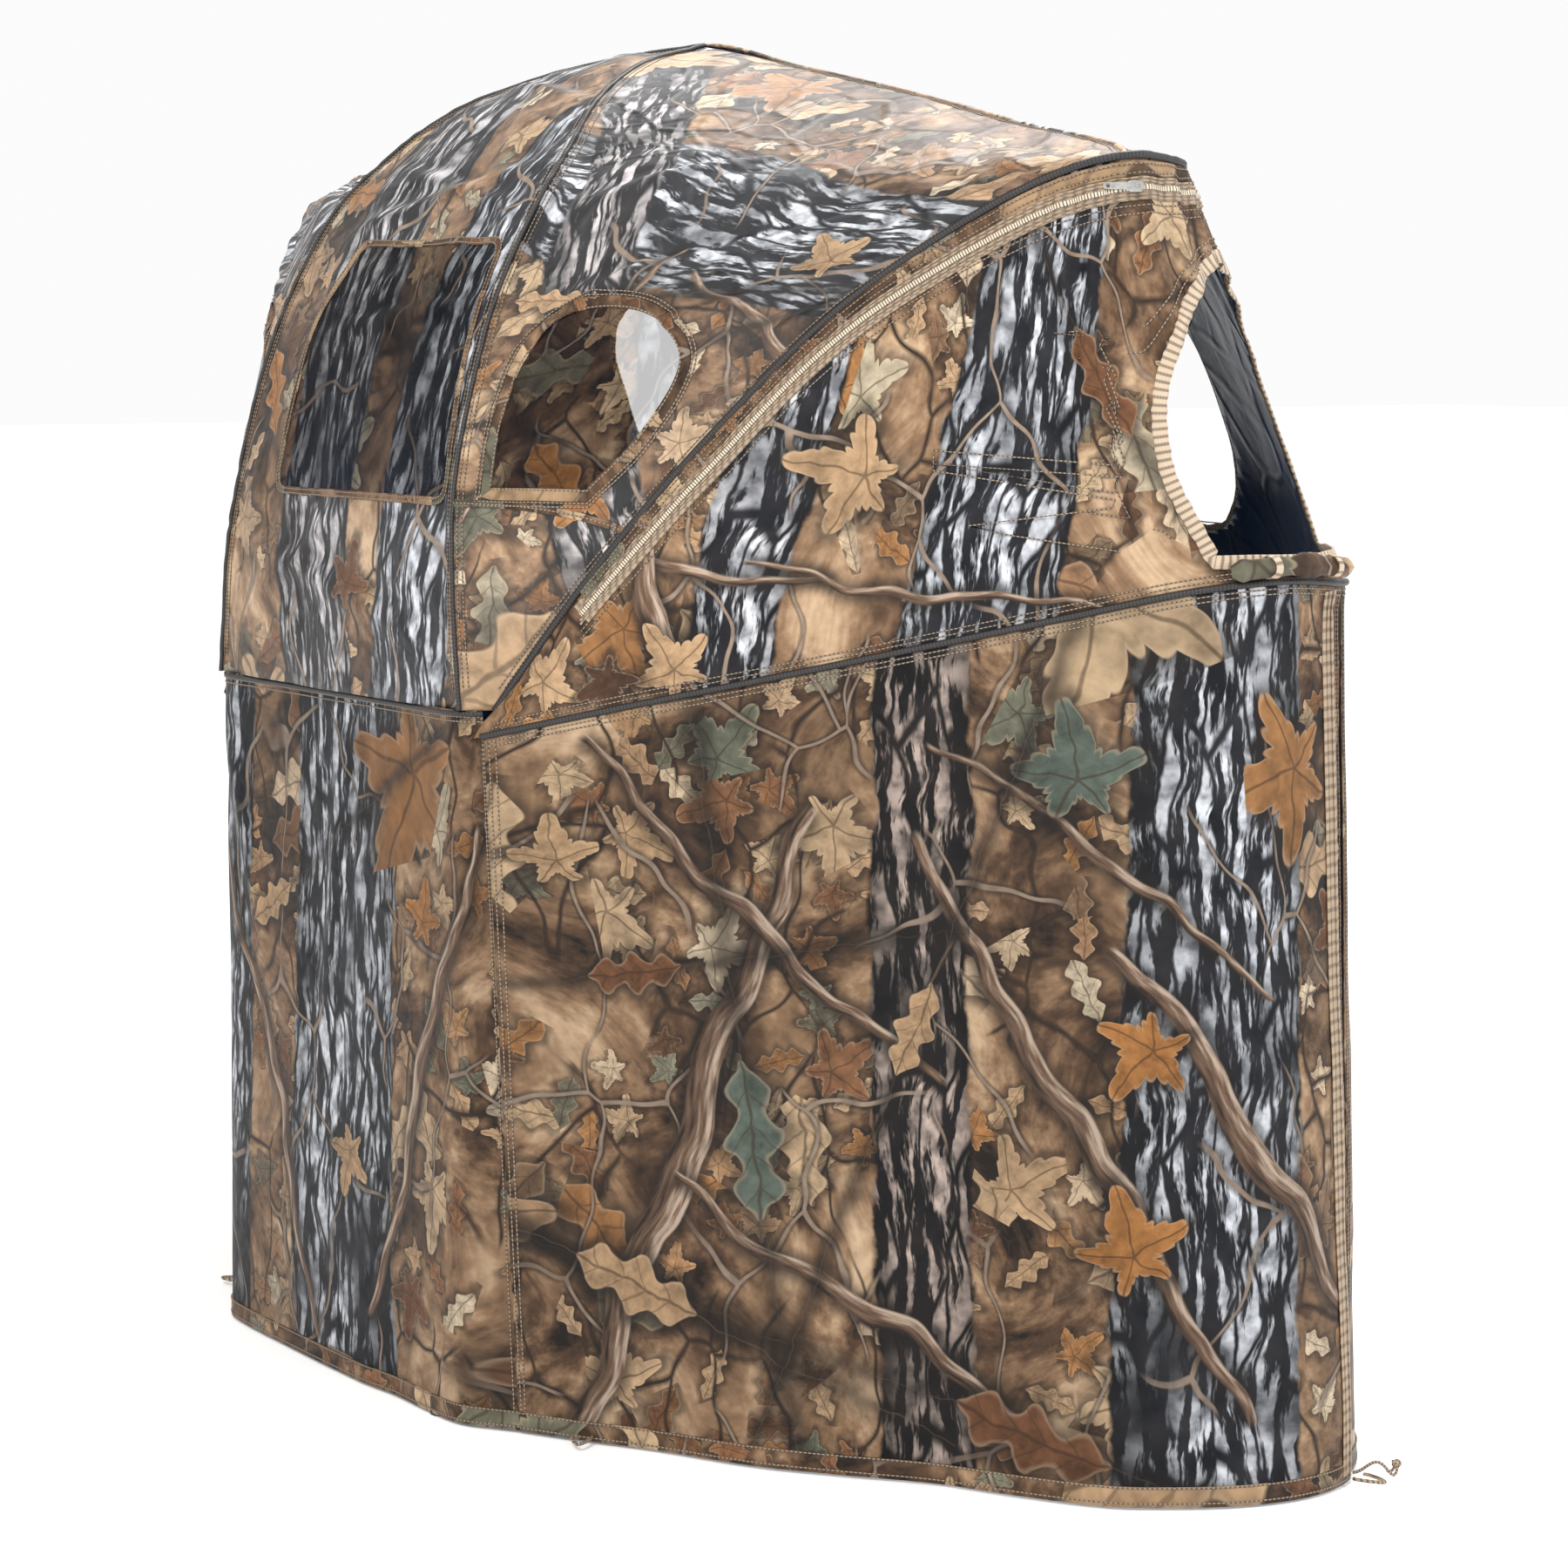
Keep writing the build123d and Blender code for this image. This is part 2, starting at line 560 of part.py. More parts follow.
def arch_face(scale=1.0):
    """Outline of a wing's mesh window on an upright plane, scaled about its own middle."""
    mid_x, mid_up = -387, 95
    with BuildSketch(Plane.XZ.offset(90)) as face:
        with BuildLine():
            rim = [(mid_x + (x - mid_x) * scale, MESH_LOW + mid_up + (up - mid_up) * scale) for x, up in ARCH]
            Spline(*rim)
            Line(rim[-1], rim[0])
        make_face()
    return face.sketch


with BuildPart() as right_wing:
    skin(panel(WING_REAR, WING_FRONT, RIGHT))
    extrude(arch_face(), amount=200, both=True, mode=Mode.SUBTRACT)
right_wing.part.label = "right_wing"
export_step(right_wing.part, "parts/right_wing.step")

with BuildPart() as left_wing:
    mirror(right_wing.part, about=Plane.YZ)
left_wing.part.label = "left_wing"
export_step(left_wing.part, "parts/left_wing.step")

with BuildPart() as right_wing_mesh:
    skin(panel(WING_REAR[1:6], WING_FRONT[1:6], RIGHT))
    extrude(arch_face(0.99), amount=200, both=True, mode=Mode.INTERSECT)
right_wing_mesh.part.label = "right_wing_mesh"
export_step(right_wing_mesh.part, "parts/right_wing_mesh.step")

with BuildPart() as left_wing_mesh:
    mirror(right_wing_mesh.part, about=Plane.YZ)
left_wing_mesh.part.label = "left_wing_mesh"
export_step(left_wing_mesh.part, "parts/left_wing_mesh.step")

# roof in front of the ridge fold, corner to corner
ROOF_BACK = [(415, 846, 1324)] + RIDGE_LINE
ROOF_FRONT = [(476, 850, 1317)] + MID_LINE[7:]


def roof_sections(side, count):
    """Cross-sections of the front roof on one side, corner first, thickened downwards."""
    sections = []
    for a, b in list(zip(ROOF_BACK, ROOF_FRONT))[:count]:
        p, q = at(a, side), at(b, side)
        sections.append(strip_face(toward(p, q, SEAM), toward(q, p, SEAM), Vector(0, -0.25, -1)))
    return sections


with BuildPart() as front_roof:
    skin(roof_sections(RIGHT, 6) + list(reversed(roof_sections(LEFT, 5))))
front_roof.part.label = "front_roof"
export_step(front_roof.part, "parts/front_roof.step")

# band between the middle and front bows, with the corner window and the front window
WINDOW_SILL = 922.0
CORNER_WAY = Vector(-0.82, -0.57, 0)      # outward through the right front corner
CORNER_ARCH = [(-124, WINDOW_SILL), (-128, 1060), (-112, 1165), (-62, 1222), (0, 1222),
               (70, 1160), (122, 1045), (145, WINDOW_SILL)]
with BuildPart() as window_band:
    near = panel(MID_LINE, FRONT_LINE, RIGHT)
    far = panel(MID_LINE[:-1], FRONT_LINE[:-1], LEFT)
    skin(near + list(reversed(far)))
    with BuildSketch(Plane(origin=(-840, -560, 0), x_dir=(0.57, -0.82, 0), z_dir=CORNER_WAY)):
        with BuildLine():
            Spline(*CORNER_ARCH)
            Line(CORNER_ARCH[-1], CORNER_ARCH[0])
        make_face()
    extrude(amount=170, both=True, mode=Mode.SUBTRACT)
    with BuildSketch(Plane.XZ.offset(700)):
        with Locations((0, 1060)):
            RectangleRounded(1240, 270, 110)
    extrude(amount=300, mode=Mode.SUBTRACT)
window_band.part.label = "window_band"
export_step(window_band.part, "parts/window_band.step")

# skirts hanging from the front bow to the ground
SKIRT_LIFT = 3.0
SIDE_LAST = 8
with BuildPart() as right_skirt:
    hems = [(f, x, SKIRT_LIFT) for f, x, z in HEM_LINE[:SIDE_LAST]]
    skin(panel(FRONT_LINE[:SIDE_LAST], hems, RIGHT, far_gap=0.01))
right_skirt.part.label = "right_skirt"
export_step(right_skirt.part, "parts/right_skirt.step")

with BuildPart() as left_skirt:
    mirror(right_skirt.part, about=Plane.YZ)
left_skirt.part.label = "left_skirt"
export_step(left_skirt.part, "parts/left_skirt.step")

with BuildPart() as front_skirt:
    tops = [along(FRONT_LINE[7], FRONT_LINE[8], 0.03)] + FRONT_LINE[8:]
    hems = [along(HEM_LINE[7], HEM_LINE[8], 0.03)] + HEM_LINE[8:]
    hems = [(f, x, SKIRT_LIFT) for f, x, z in hems]
    near = panel(tops, hems, RIGHT, far_gap=0.01)
    far = panel(tops[:-1], hems[:-1], LEFT, far_gap=0.01)
    skin(near + list(reversed(far)))
front_skirt.part.label = "front_skirt"
export_step(front_skirt.part, "parts/front_skirt.step")

# ---------------------------------------------------------------- zip fastener under each middle bow
ZIP_PATH = [(102, 445, 929), (291, 708, 1209), (375, 826, 1285), (415, 881, 1289)]
WALL_POINTS = [(66, 403, 753), (367, 797, 862), (354, 797, 1298)]
CHAIN_W, CHAIN_T = 9.0, 2.4
CHAIN_LIFT = 5.0         # chain above the flat of the side wall, on its tape
SLIDER_GAP = 0.3
wall_a, wall_b, wall_c = [at(p) for p in WALL_POINTS]
wall_out = (wall_b - wall_a).cross(wall_c - wall_a).normalized()
wall_out = wall_out * (-1 if wall_out.X > 0 else 1)
wall = Plane(origin=wall_a, z_dir=wall_out)


def on_wall(point):
    """A table point laid on the side wall's plane, in the wall's own two coordinates."""
    local = wall.to_local_coords(at(point))
    return (local.X, local.Y)


with BuildPart() as right_chain:
    with BuildSketch(wall.offset(CHAIN_LIFT)):
        with BuildLine() as chain_line:
            low, knee, bend, end = [on_wall(p) for p in ZIP_PATH]
            Line(low, knee)
            chain_arc = ThreePointArc(knee, bend, end)
        trace(line_width=CHAIN_W)
    extrude(amount=CHAIN_T)
right_chain.part.label = "right_zip_chain"
export_step(right_chain.part, "parts/right_zip_chain.step")

with BuildPart() as left_chain:
    mirror(right_chain.part, about=Plane.YZ)
left_chain.part.label = "left_zip_chain"
export_step(left_chain.part, "parts/left_zip_chain.step")

# slider body and pull tab, parked at the closed end of the chain
SLIDER_LONG, SLIDER_WIDE, SLIDER_T = 16.0, 11.0, 4.0
park = chain_arc @ 0.96
run = chain_arc % 0.96
slider_base = wall.offset(CHAIN_LIFT + CHAIN_T + SLIDER_GAP)
slider_plane = Plane(
    origin=slider_base.from_local_coords(Vector(park.X, park.Y, 0)),
    x_dir=(wall.x_dir * run.X + wall.y_dir * run.Y).normalized(),
    z_dir=wall_out,
)
with BuildPart() as right_slider:
    with BuildSketch(slider_plane):
        RectangleRounded(SLIDER_LONG, SLIDER_WIDE, 3.5)
    extrude(amount=SLIDER_T)
    with BuildSketch(slider_plane.offset(SLIDER_T)):
        with Locations((-14, 0)):
            SlotOverall(36, 7)
        with Locations((-27, 0)):
            Circle(2, mode=Mode.SUBTRACT)
    extrude(amount=2)
right_slider.part.label = "right_zip_slider"
export_step(right_slider.part, "parts/right_zip_slider.step")

with BuildPart() as left_slider:
    mirror(right_slider.part, about=Plane.YZ)
left_slider.part.label = "left_zip_slider"
export_step(left_slider.part, "parts/left_zip_slider.step")

# ---------------------------------------------------------------- small sewn parts
ROLL_R = 11.0
with BuildPart() as window_cover:
    with BuildLine() as roll_path:
        ends = [along(FRONT_LINE[5], FRONT_LINE[6], 0.55), FRONT_LINE[6], along(FRONT_LINE[6], FRONT_LINE[7], 0.9)]
        Spline(*[toward(at(p), MIDDLE, -24) + Vector(0, 0, 16) for p in ends])
    with BuildSketch(Plane(origin=roll_path.line @ 0, z_dir=roll_path.line % 0)):
        Ellipse(ROLL_R, ROLL_R * 0.8)
    sweep(is_frenet=True)
window_cover.part.label = "corner_window_cover"
export_step(window_cover.part, "parts/corner_window_cover.step")

CORD_R = 1.8
CORD_OUT = 22.0
CORD_SPOTS = [HEM_LINE[1], HEM_LINE[7]]      # rear and front hem corners
with BuildPart() as stake_loops:
    for side in (LEFT, RIGHT):
        for spot in CORD_SPOTS:
            root = toward(Vector(side * spot[1], -spot[0], 8), Vector(0, -380, 8), -11)
            out = (root - Vector(0, -380, 8)).normalized()
            cross = out.cross(Vector(0, 0, 1)) * 9
            with BuildLine() as loop_path:
                Spline(root + cross, root + out * CORD_OUT + cross * 0.6, root + out * (CORD_OUT + 7),
                       root + out * CORD_OUT - cross * 0.6, root - cross)
            with BuildSketch(Plane(origin=loop_path.line @ 0, z_dir=loop_path.line % 0)):
                Circle(CORD_R)
            sweep(is_frenet=True)
stake_loops.part.label = "hem_stake_loops"
export_step(stake_loops.part, "parts/hem_stake_loops.step")
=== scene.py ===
"""Looks of the flip-over chair blind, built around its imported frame.

Metres, +Z up, front faces -Y. Table points are millimetres: (forward, sideways, height), where
forward is -Y and sideways is positive on the sitter's right, which is -X.
"""

import math

import bpy
import numpy as np
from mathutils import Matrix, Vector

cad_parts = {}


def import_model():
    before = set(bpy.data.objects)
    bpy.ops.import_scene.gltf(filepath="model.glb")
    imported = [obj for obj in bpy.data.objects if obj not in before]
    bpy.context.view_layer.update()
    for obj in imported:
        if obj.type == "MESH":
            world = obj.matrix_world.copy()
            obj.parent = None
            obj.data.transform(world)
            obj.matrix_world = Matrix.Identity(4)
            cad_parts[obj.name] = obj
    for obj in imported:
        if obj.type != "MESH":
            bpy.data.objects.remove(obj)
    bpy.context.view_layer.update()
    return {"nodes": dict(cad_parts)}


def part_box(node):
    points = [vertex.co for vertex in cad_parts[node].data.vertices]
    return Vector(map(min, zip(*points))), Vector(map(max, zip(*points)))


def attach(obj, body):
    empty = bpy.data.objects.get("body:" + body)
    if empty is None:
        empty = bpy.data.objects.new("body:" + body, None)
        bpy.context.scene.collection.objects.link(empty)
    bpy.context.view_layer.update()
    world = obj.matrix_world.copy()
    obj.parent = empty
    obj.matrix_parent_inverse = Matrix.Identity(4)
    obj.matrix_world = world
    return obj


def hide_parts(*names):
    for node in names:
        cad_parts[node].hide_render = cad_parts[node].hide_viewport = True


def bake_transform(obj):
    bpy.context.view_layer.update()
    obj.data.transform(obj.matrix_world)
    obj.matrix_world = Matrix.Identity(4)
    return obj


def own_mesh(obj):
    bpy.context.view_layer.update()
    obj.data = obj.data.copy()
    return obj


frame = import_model()
NODES = frame["nodes"]
CABIN = np.array([0.0, -0.38, 0.80])    # a place inside, which every sheet faces away from
CLOTH = 0.0010                          # thickness of the canopy's cloth
STITCH = (0.0012, 0.0006, 0.0002)       # width, thickness and lift of a row of stitches
SHIFT_Y, CAMERA_X = -0.289, -3.78       # the main view's lens shift and the place where it applies

# ------------------------------------------------------------------ seam lines, right side first
REAR_LINE = [
    (-18, 283, 752), (-18, 268, 890), (-8, 255, 985), (19, 250, 1100), (52, 243, 1190),
    (108, 235, 1290), (157, 212, 1345), (217, 170, 1400), (322, 95, 1450), (466, 0, 1483),
]
MID_LINE = [
    (14, 302, 752), (72, 403, 898), (149, 511, 1043), (240, 636, 1184), (354, 797, 1298),
    (405, 862, 1320), (482, 848, 1316), (542, 775, 1308), (632, 600, 1304), (702, 380, 1309),
    (738, 190, 1316), (752, 0, 1320),
]
FRONT_LINE = [
    (-10, 290, 722), (66, 403, 753), (152, 511, 783), (222, 603, 808), (367, 797, 862),
    (446, 905, 892), (525, 952, 903), (622, 932, 897), (752, 745, 889), (842, 450, 886),
    (895, 220, 885), (912, 0, 885),
]
HEM_LINE = [
    (-12, 266, 3), (72, 385, 3), (134, 511, 3), (198, 603, 3), (330, 797, 3),
    (400, 886, 3), (500, 944, 3), (632, 935, 3), (772, 745, 3), (858, 450, 3),
    (911, 220, 3), (928, 0, 3),
]
RIDGE_LINE = [MID_LINE[5], (440, 800, 1334), (452, 640, 1362), (460, 430, 1405), (464, 210, 1446),
              (466, 0, 1483)]
WING_STOPS = [5, 5.5, 6, 7, 8, 9]      # rear-seam stations that face the ridge's points


def both_sides(line):
    """A seam line carried over the middle to the left side."""
    return line + [(f, -s, z) for f, s, z in reversed(line[:-1])]


def world(points):
    """Row-frame metres of table points."""
    p = np.asarray(points, float)
    return np.stack([-p[..., 1], -p[..., 0], p[..., 2]], -1) / 1000.0


def spline(points, t):
    """Places on a smooth curve through points; t counts points from 0."""
    pts = np.asarray(points, float)
    last = len(pts) - 1
    t = np.clip(np.asarray(t, float), 0, last)
    i = np.minimum(t.astype(int), last - 1)
    f = (t - i)[..., None]
    p1, p2 = pts[i], pts[i + 1]
    p0 = np.where((i > 0)[..., None], pts[np.maximum(i - 1, 0)], 2 * p1 - p2)
    p3 = np.where((i < last - 1)[..., None], pts[np.minimum(i + 2, last)], 2 * p2 - p1)
    steps = (p1 - p0, p2 - p1, p3 - p2)
    gap = [np.sqrt(np.linalg.norm(step, axis=-1, keepdims=True)) + 1e-9 for step in steps]
    m1 = gap[1] * ((p1 - p0) / gap[0] - (p2 - p0) / (gap[0] + gap[1]) + (p2 - p1) / gap[1])
    m2 = gap[1] * ((p2 - p1) / gap[1] - (p3 - p1) / (gap[1] + gap[2]) + (p3 - p2) / gap[2])
    return ((2 * f**3 - 3 * f**2 + 1) * p1 + (f**3 - 2 * f**2 + f) * m1
            + (-2 * f**3 + 3 * f**2) * p2 + (f**3 - f**2) * m2)


# ------------------------------------------------------------------ smooth noise, always the same
def noise2(x, y, seed):
    """Value noise between -1 and 1."""
    grid = np.random.RandomState(seed).uniform(-1, 1, (64, 64))
    xi, yi = np.floor(x).astype(int), np.floor(y).astype(int)
    fx, fy = x - xi, y - yi
    fx, fy = fx * fx * (3 - 2 * fx), fy * fy * (3 - 2 * fy)
    g = lambda a, b: grid[a % 64, b % 64]
    low = g(xi, yi) * (1 - fx) + g(xi + 1, yi) * fx
    high = g(xi, yi + 1) * (1 - fx) + g(xi + 1, yi + 1) * fx
    return low * (1 - fy) + high * fy


def soft(x, lo, hi):
    """0 below lo, 1 above hi, smooth between."""
    t = np.clip((x - lo) / (hi - lo), 0, 1)
    return t * t * (3 - 2 * t)


def fold(a, b, start, end, width, height):
    """A raised crease from start to end on a sheet with coordinates a, b in metres."""
    s, e = np.array(start, float), np.array(end, float)
    run = e - s
    long = np.linalg.norm(run)
    along = ((a - s[0]) * run[0] + (b - s[1]) * run[1]) / long
    off = ((a - s[0]) * -run[1] + (b - s[1]) * run[0]) / long
    fade = soft(along, -0.02, 0.35 * long) * soft(long - along, -0.02, 0.35 * long)
    ridge = np.exp(-(off / width) ** 2) - 0.6 * np.exp(-((off - 1.7 * width) / width) ** 2)
    return height * fade * ridge


def folded(height, a, b, *rows):
    """Adds one fold for each row of start, end, width and height."""
    for row in rows:
        height = height + fold(a, b, *row)
    return height


def pucker(a, edge, scale, depth, reach, seed):
    """Small gathers square to a sewn edge: a runs along it and edge is the distance from it."""
    waves = np.sin(a * scale + 1.7 * noise2(a * 9, edge * 0 + 2.5, seed))
    strength = 0.55 + 0.45 * noise2(a * 5, edge * 3, seed + 1)
    return depth * waves * strength * soft(edge, 0.0, 0.012) * np.exp(-edge / reach)


# ------------------------------------------------------------------ sheets
class Sheet:
    """A grid surface between two seams, with fabric places in metres and bend weights."""

    def __init__(self, first, second, weight_first=0.0, weight_second=1.0, rows=60, swell=0.0):
        v = np.linspace(0, 1, rows)
        self.v = np.broadcast_to(v, (len(first), rows))
        self.P = first[:, None, :] * (1 - v[None, :, None]) + second[:, None, :] * v[None, :, None]
        wa = np.broadcast_to(weight_first, (len(first),))[:, None]
        wb = np.broadcast_to(weight_second, (len(first),))[:, None]
        self.W = wa * (1 - self.v) + wb * self.v
        step = np.linalg.norm(np.diff(self.P, axis=0), axis=2).mean(axis=1)
        self.a = np.broadcast_to(np.concatenate([[0], np.cumsum(step)])[:, None], self.v.shape)
        self.width = np.linalg.norm(second - first, axis=1)[:, None]
        self.b = self.v * self.width
        self.edge = np.minimum(self.b, self.width - self.b)
        if swell:
            self.push(swell * 4 * self.v * (1 - self.v) * np.minimum(1, self.width / 0.3))
        self.UV = np.stack([self.a, self.b], -1)
        self.base = self.P

    def normals(self):
        du, dv = np.gradient(self.P, axis=0), np.gradient(self.P, axis=1)
        n = np.cross(du, dv)
        n /= np.linalg.norm(n, axis=2, keepdims=True) + 1e-12
        mid = (len(n) // 2, n.shape[1] // 2)
        out = self.P[mid] - CABIN
        self.flip = np.dot(n[mid], out) < 0
        return -n if self.flip else n

    def push(self, height):
        """Moves the sheet outwards by a height in metres, zero on its seams."""
        hold = soft(self.edge, 0.0, 0.03) if hasattr(self, "edge") else 1.0
        self.P = self.P + self.normals() * (height * hold)[..., None]

    def place(self, i, j, field=None):
        """Values at fractional grid places."""
        field = self.P if field is None else field
        nu, nv = self.v.shape
        i, j = np.clip(i, 0, nu - 1.001), np.clip(j, 0, nv - 1.001)
        a, b = i.astype(int), j.astype(int)
        fi, fj = i - a, j - b
        if field.ndim == 3:
            fi, fj = fi[..., None], fj[..., None]
        return ((field[a, b] * (1 - fi) + field[a + 1, b] * fi) * (1 - fj)
                + (field[a, b + 1] * (1 - fi) + field[a + 1, b + 1] * fi) * fj)

    def flat(self, axes):
        """The unrumpled sheet's coordinates on two flat axes."""
        return np.stack([self.base @ axes[0], self.base @ axes[1]], -1)

    def find(self, targets, axes, region):
        """Fractional grid places of flat targets, searched inside a region."""
        Q = self.flat(axes)
        far = np.where(region, 0, 1e3)[..., None]
        flat = (Q + far).reshape(-1, 2)
        first = np.array([np.argmin(((flat - t) ** 2).sum(1)) for t in targets])
        nv = self.v.shape[1]
        i, j = (first // nv).astype(float), (first % nv).astype(float)
        gi, gj = np.gradient(Q, axis=0), np.gradient(Q, axis=1)
        for _ in range(5):
            miss = targets - self.place(i, j, Q)
            a, b = self.place(i, j, gi), self.place(i, j, gj)
            det = a[:, 0] * b[:, 1] - a[:, 1] * b[:, 0]
            det = np.where(np.abs(det) < 1e-12, 1e-12, det)
            i = i + np.clip((miss[:, 0] * b[:, 1] - miss[:, 1] * b[:, 0]) / det, -2, 2)
            j = j + np.clip((a[:, 0] * miss[:, 1] - a[:, 1] * miss[:, 0]) / det, -2, 2)
        return i, j


def outline_distance(Q, outline):
    """Distance from each flat place to a closed outline, negative inside, and the nearest outline place."""
    pts = Q.reshape(-1, 2)
    best = np.full(len(pts), 1e9)
    near = np.zeros_like(pts)
    inside = np.zeros(len(pts), bool)
    for p, q in zip(outline, np.roll(outline, -1, axis=0)):
        run = q - p
        t = np.clip(((pts - p) @ run) / max(run @ run, 1e-12), 0, 1)
        spot = p + t[:, None] * run
        d = np.linalg.norm(pts - spot, axis=1)
        closer = d < best
        best[closer], near[closer] = d[closer], spot[closer]
        crosses = (p[1] > pts[:, 1]) != (q[1] > pts[:, 1])
        x = p[0] + (pts[:, 1] - p[1]) * run[0] / (run[1] if abs(run[1]) > 1e-12 else 1e-12)
        inside ^= crosses & (pts[:, 0] < x)
    return np.where(inside, -best, best).reshape(Q.shape[:2]), near.reshape(Q.shape)


def cut(sheet, outline, axes, region, keep_inside=False):
    """Snaps a sheet's vertices to an outline and says which faces stay."""
    Q = sheet.flat(axes)
    d, near = outline_distance(Q, outline)
    d = np.where(region, d, 1.0)
    stay = (d < 0) if keep_inside else (d > 0)
    corner = [stay[:-1, :-1], stay[1:, :-1], stay[1:, 1:], stay[:-1, 1:]]
    faces = corner[0] | corner[1] | corner[2] | corner[3]
    used = np.zeros_like(stay)
    used[:-1, :-1] |= faces
    used[1:, :-1] |= faces
    used[1:, 1:] |= faces
    used[:-1, 1:] |= faces
    move = used & ~stay
    gi, gj = np.gradient(Q, axis=0), np.gradient(Q, axis=1)
    du, dv = np.gradient(sheet.P, axis=0), np.gradient(sheet.P, axis=1)
    miss = near - Q
    det = gi[..., 0] * gj[..., 1] - gi[..., 1] * gj[..., 0]
    det = np.where(np.abs(det) < 1e-14, 1e-14, det)
    s = np.clip((miss[..., 0] * gj[..., 1] - miss[..., 1] * gj[..., 0]) / det, -1.5, 1.5)
    t = np.clip((gi[..., 0] * miss[..., 1] - gi[..., 1] * miss[..., 0]) / det, -1.5, 1.5)
    moved = sheet.P + s[..., None] * du + t[..., None] * dv
    return np.where(move[..., None], moved, sheet.P), faces


class Tiles:
    """A large print shared out over several materials, each with the motifs that reach into its own tile."""

    def __init__(self, name, split, trunks=(), limbs=(), leaves=(), **rest):
        self.split, self.materials = split, []
        for tile in range(4):
            low = [split[k] if tile >> k & 1 else -9.0 for k in (0, 1)]
            high = [9.0 if tile >> k & 1 else split[k] for k in (0, 1)]

            def near(x, y, reach_x, reach_y):
                return low[0] - reach_x < x < high[0] + reach_x and low[1] - reach_y < y < high[1] + reach_y

            self.materials.append(camo(
                f"{name} {tile + 1}", trunks=[t for t in trunks if near(t[0], t[1], t[3] + 0.10, 9.0)],
                limbs=[t for t in limbs if near(t[0], t[1], t[4] + 0.03, t[4] + 0.03)],
                leaves=[t for t in leaves if near(t[0], t[1], 1.5 * t[3], 1.5 * t[3])], **rest))

    def pick(self, x, y):
        return int(x >= self.split[0]) + 2 * int(y >= self.split[1])


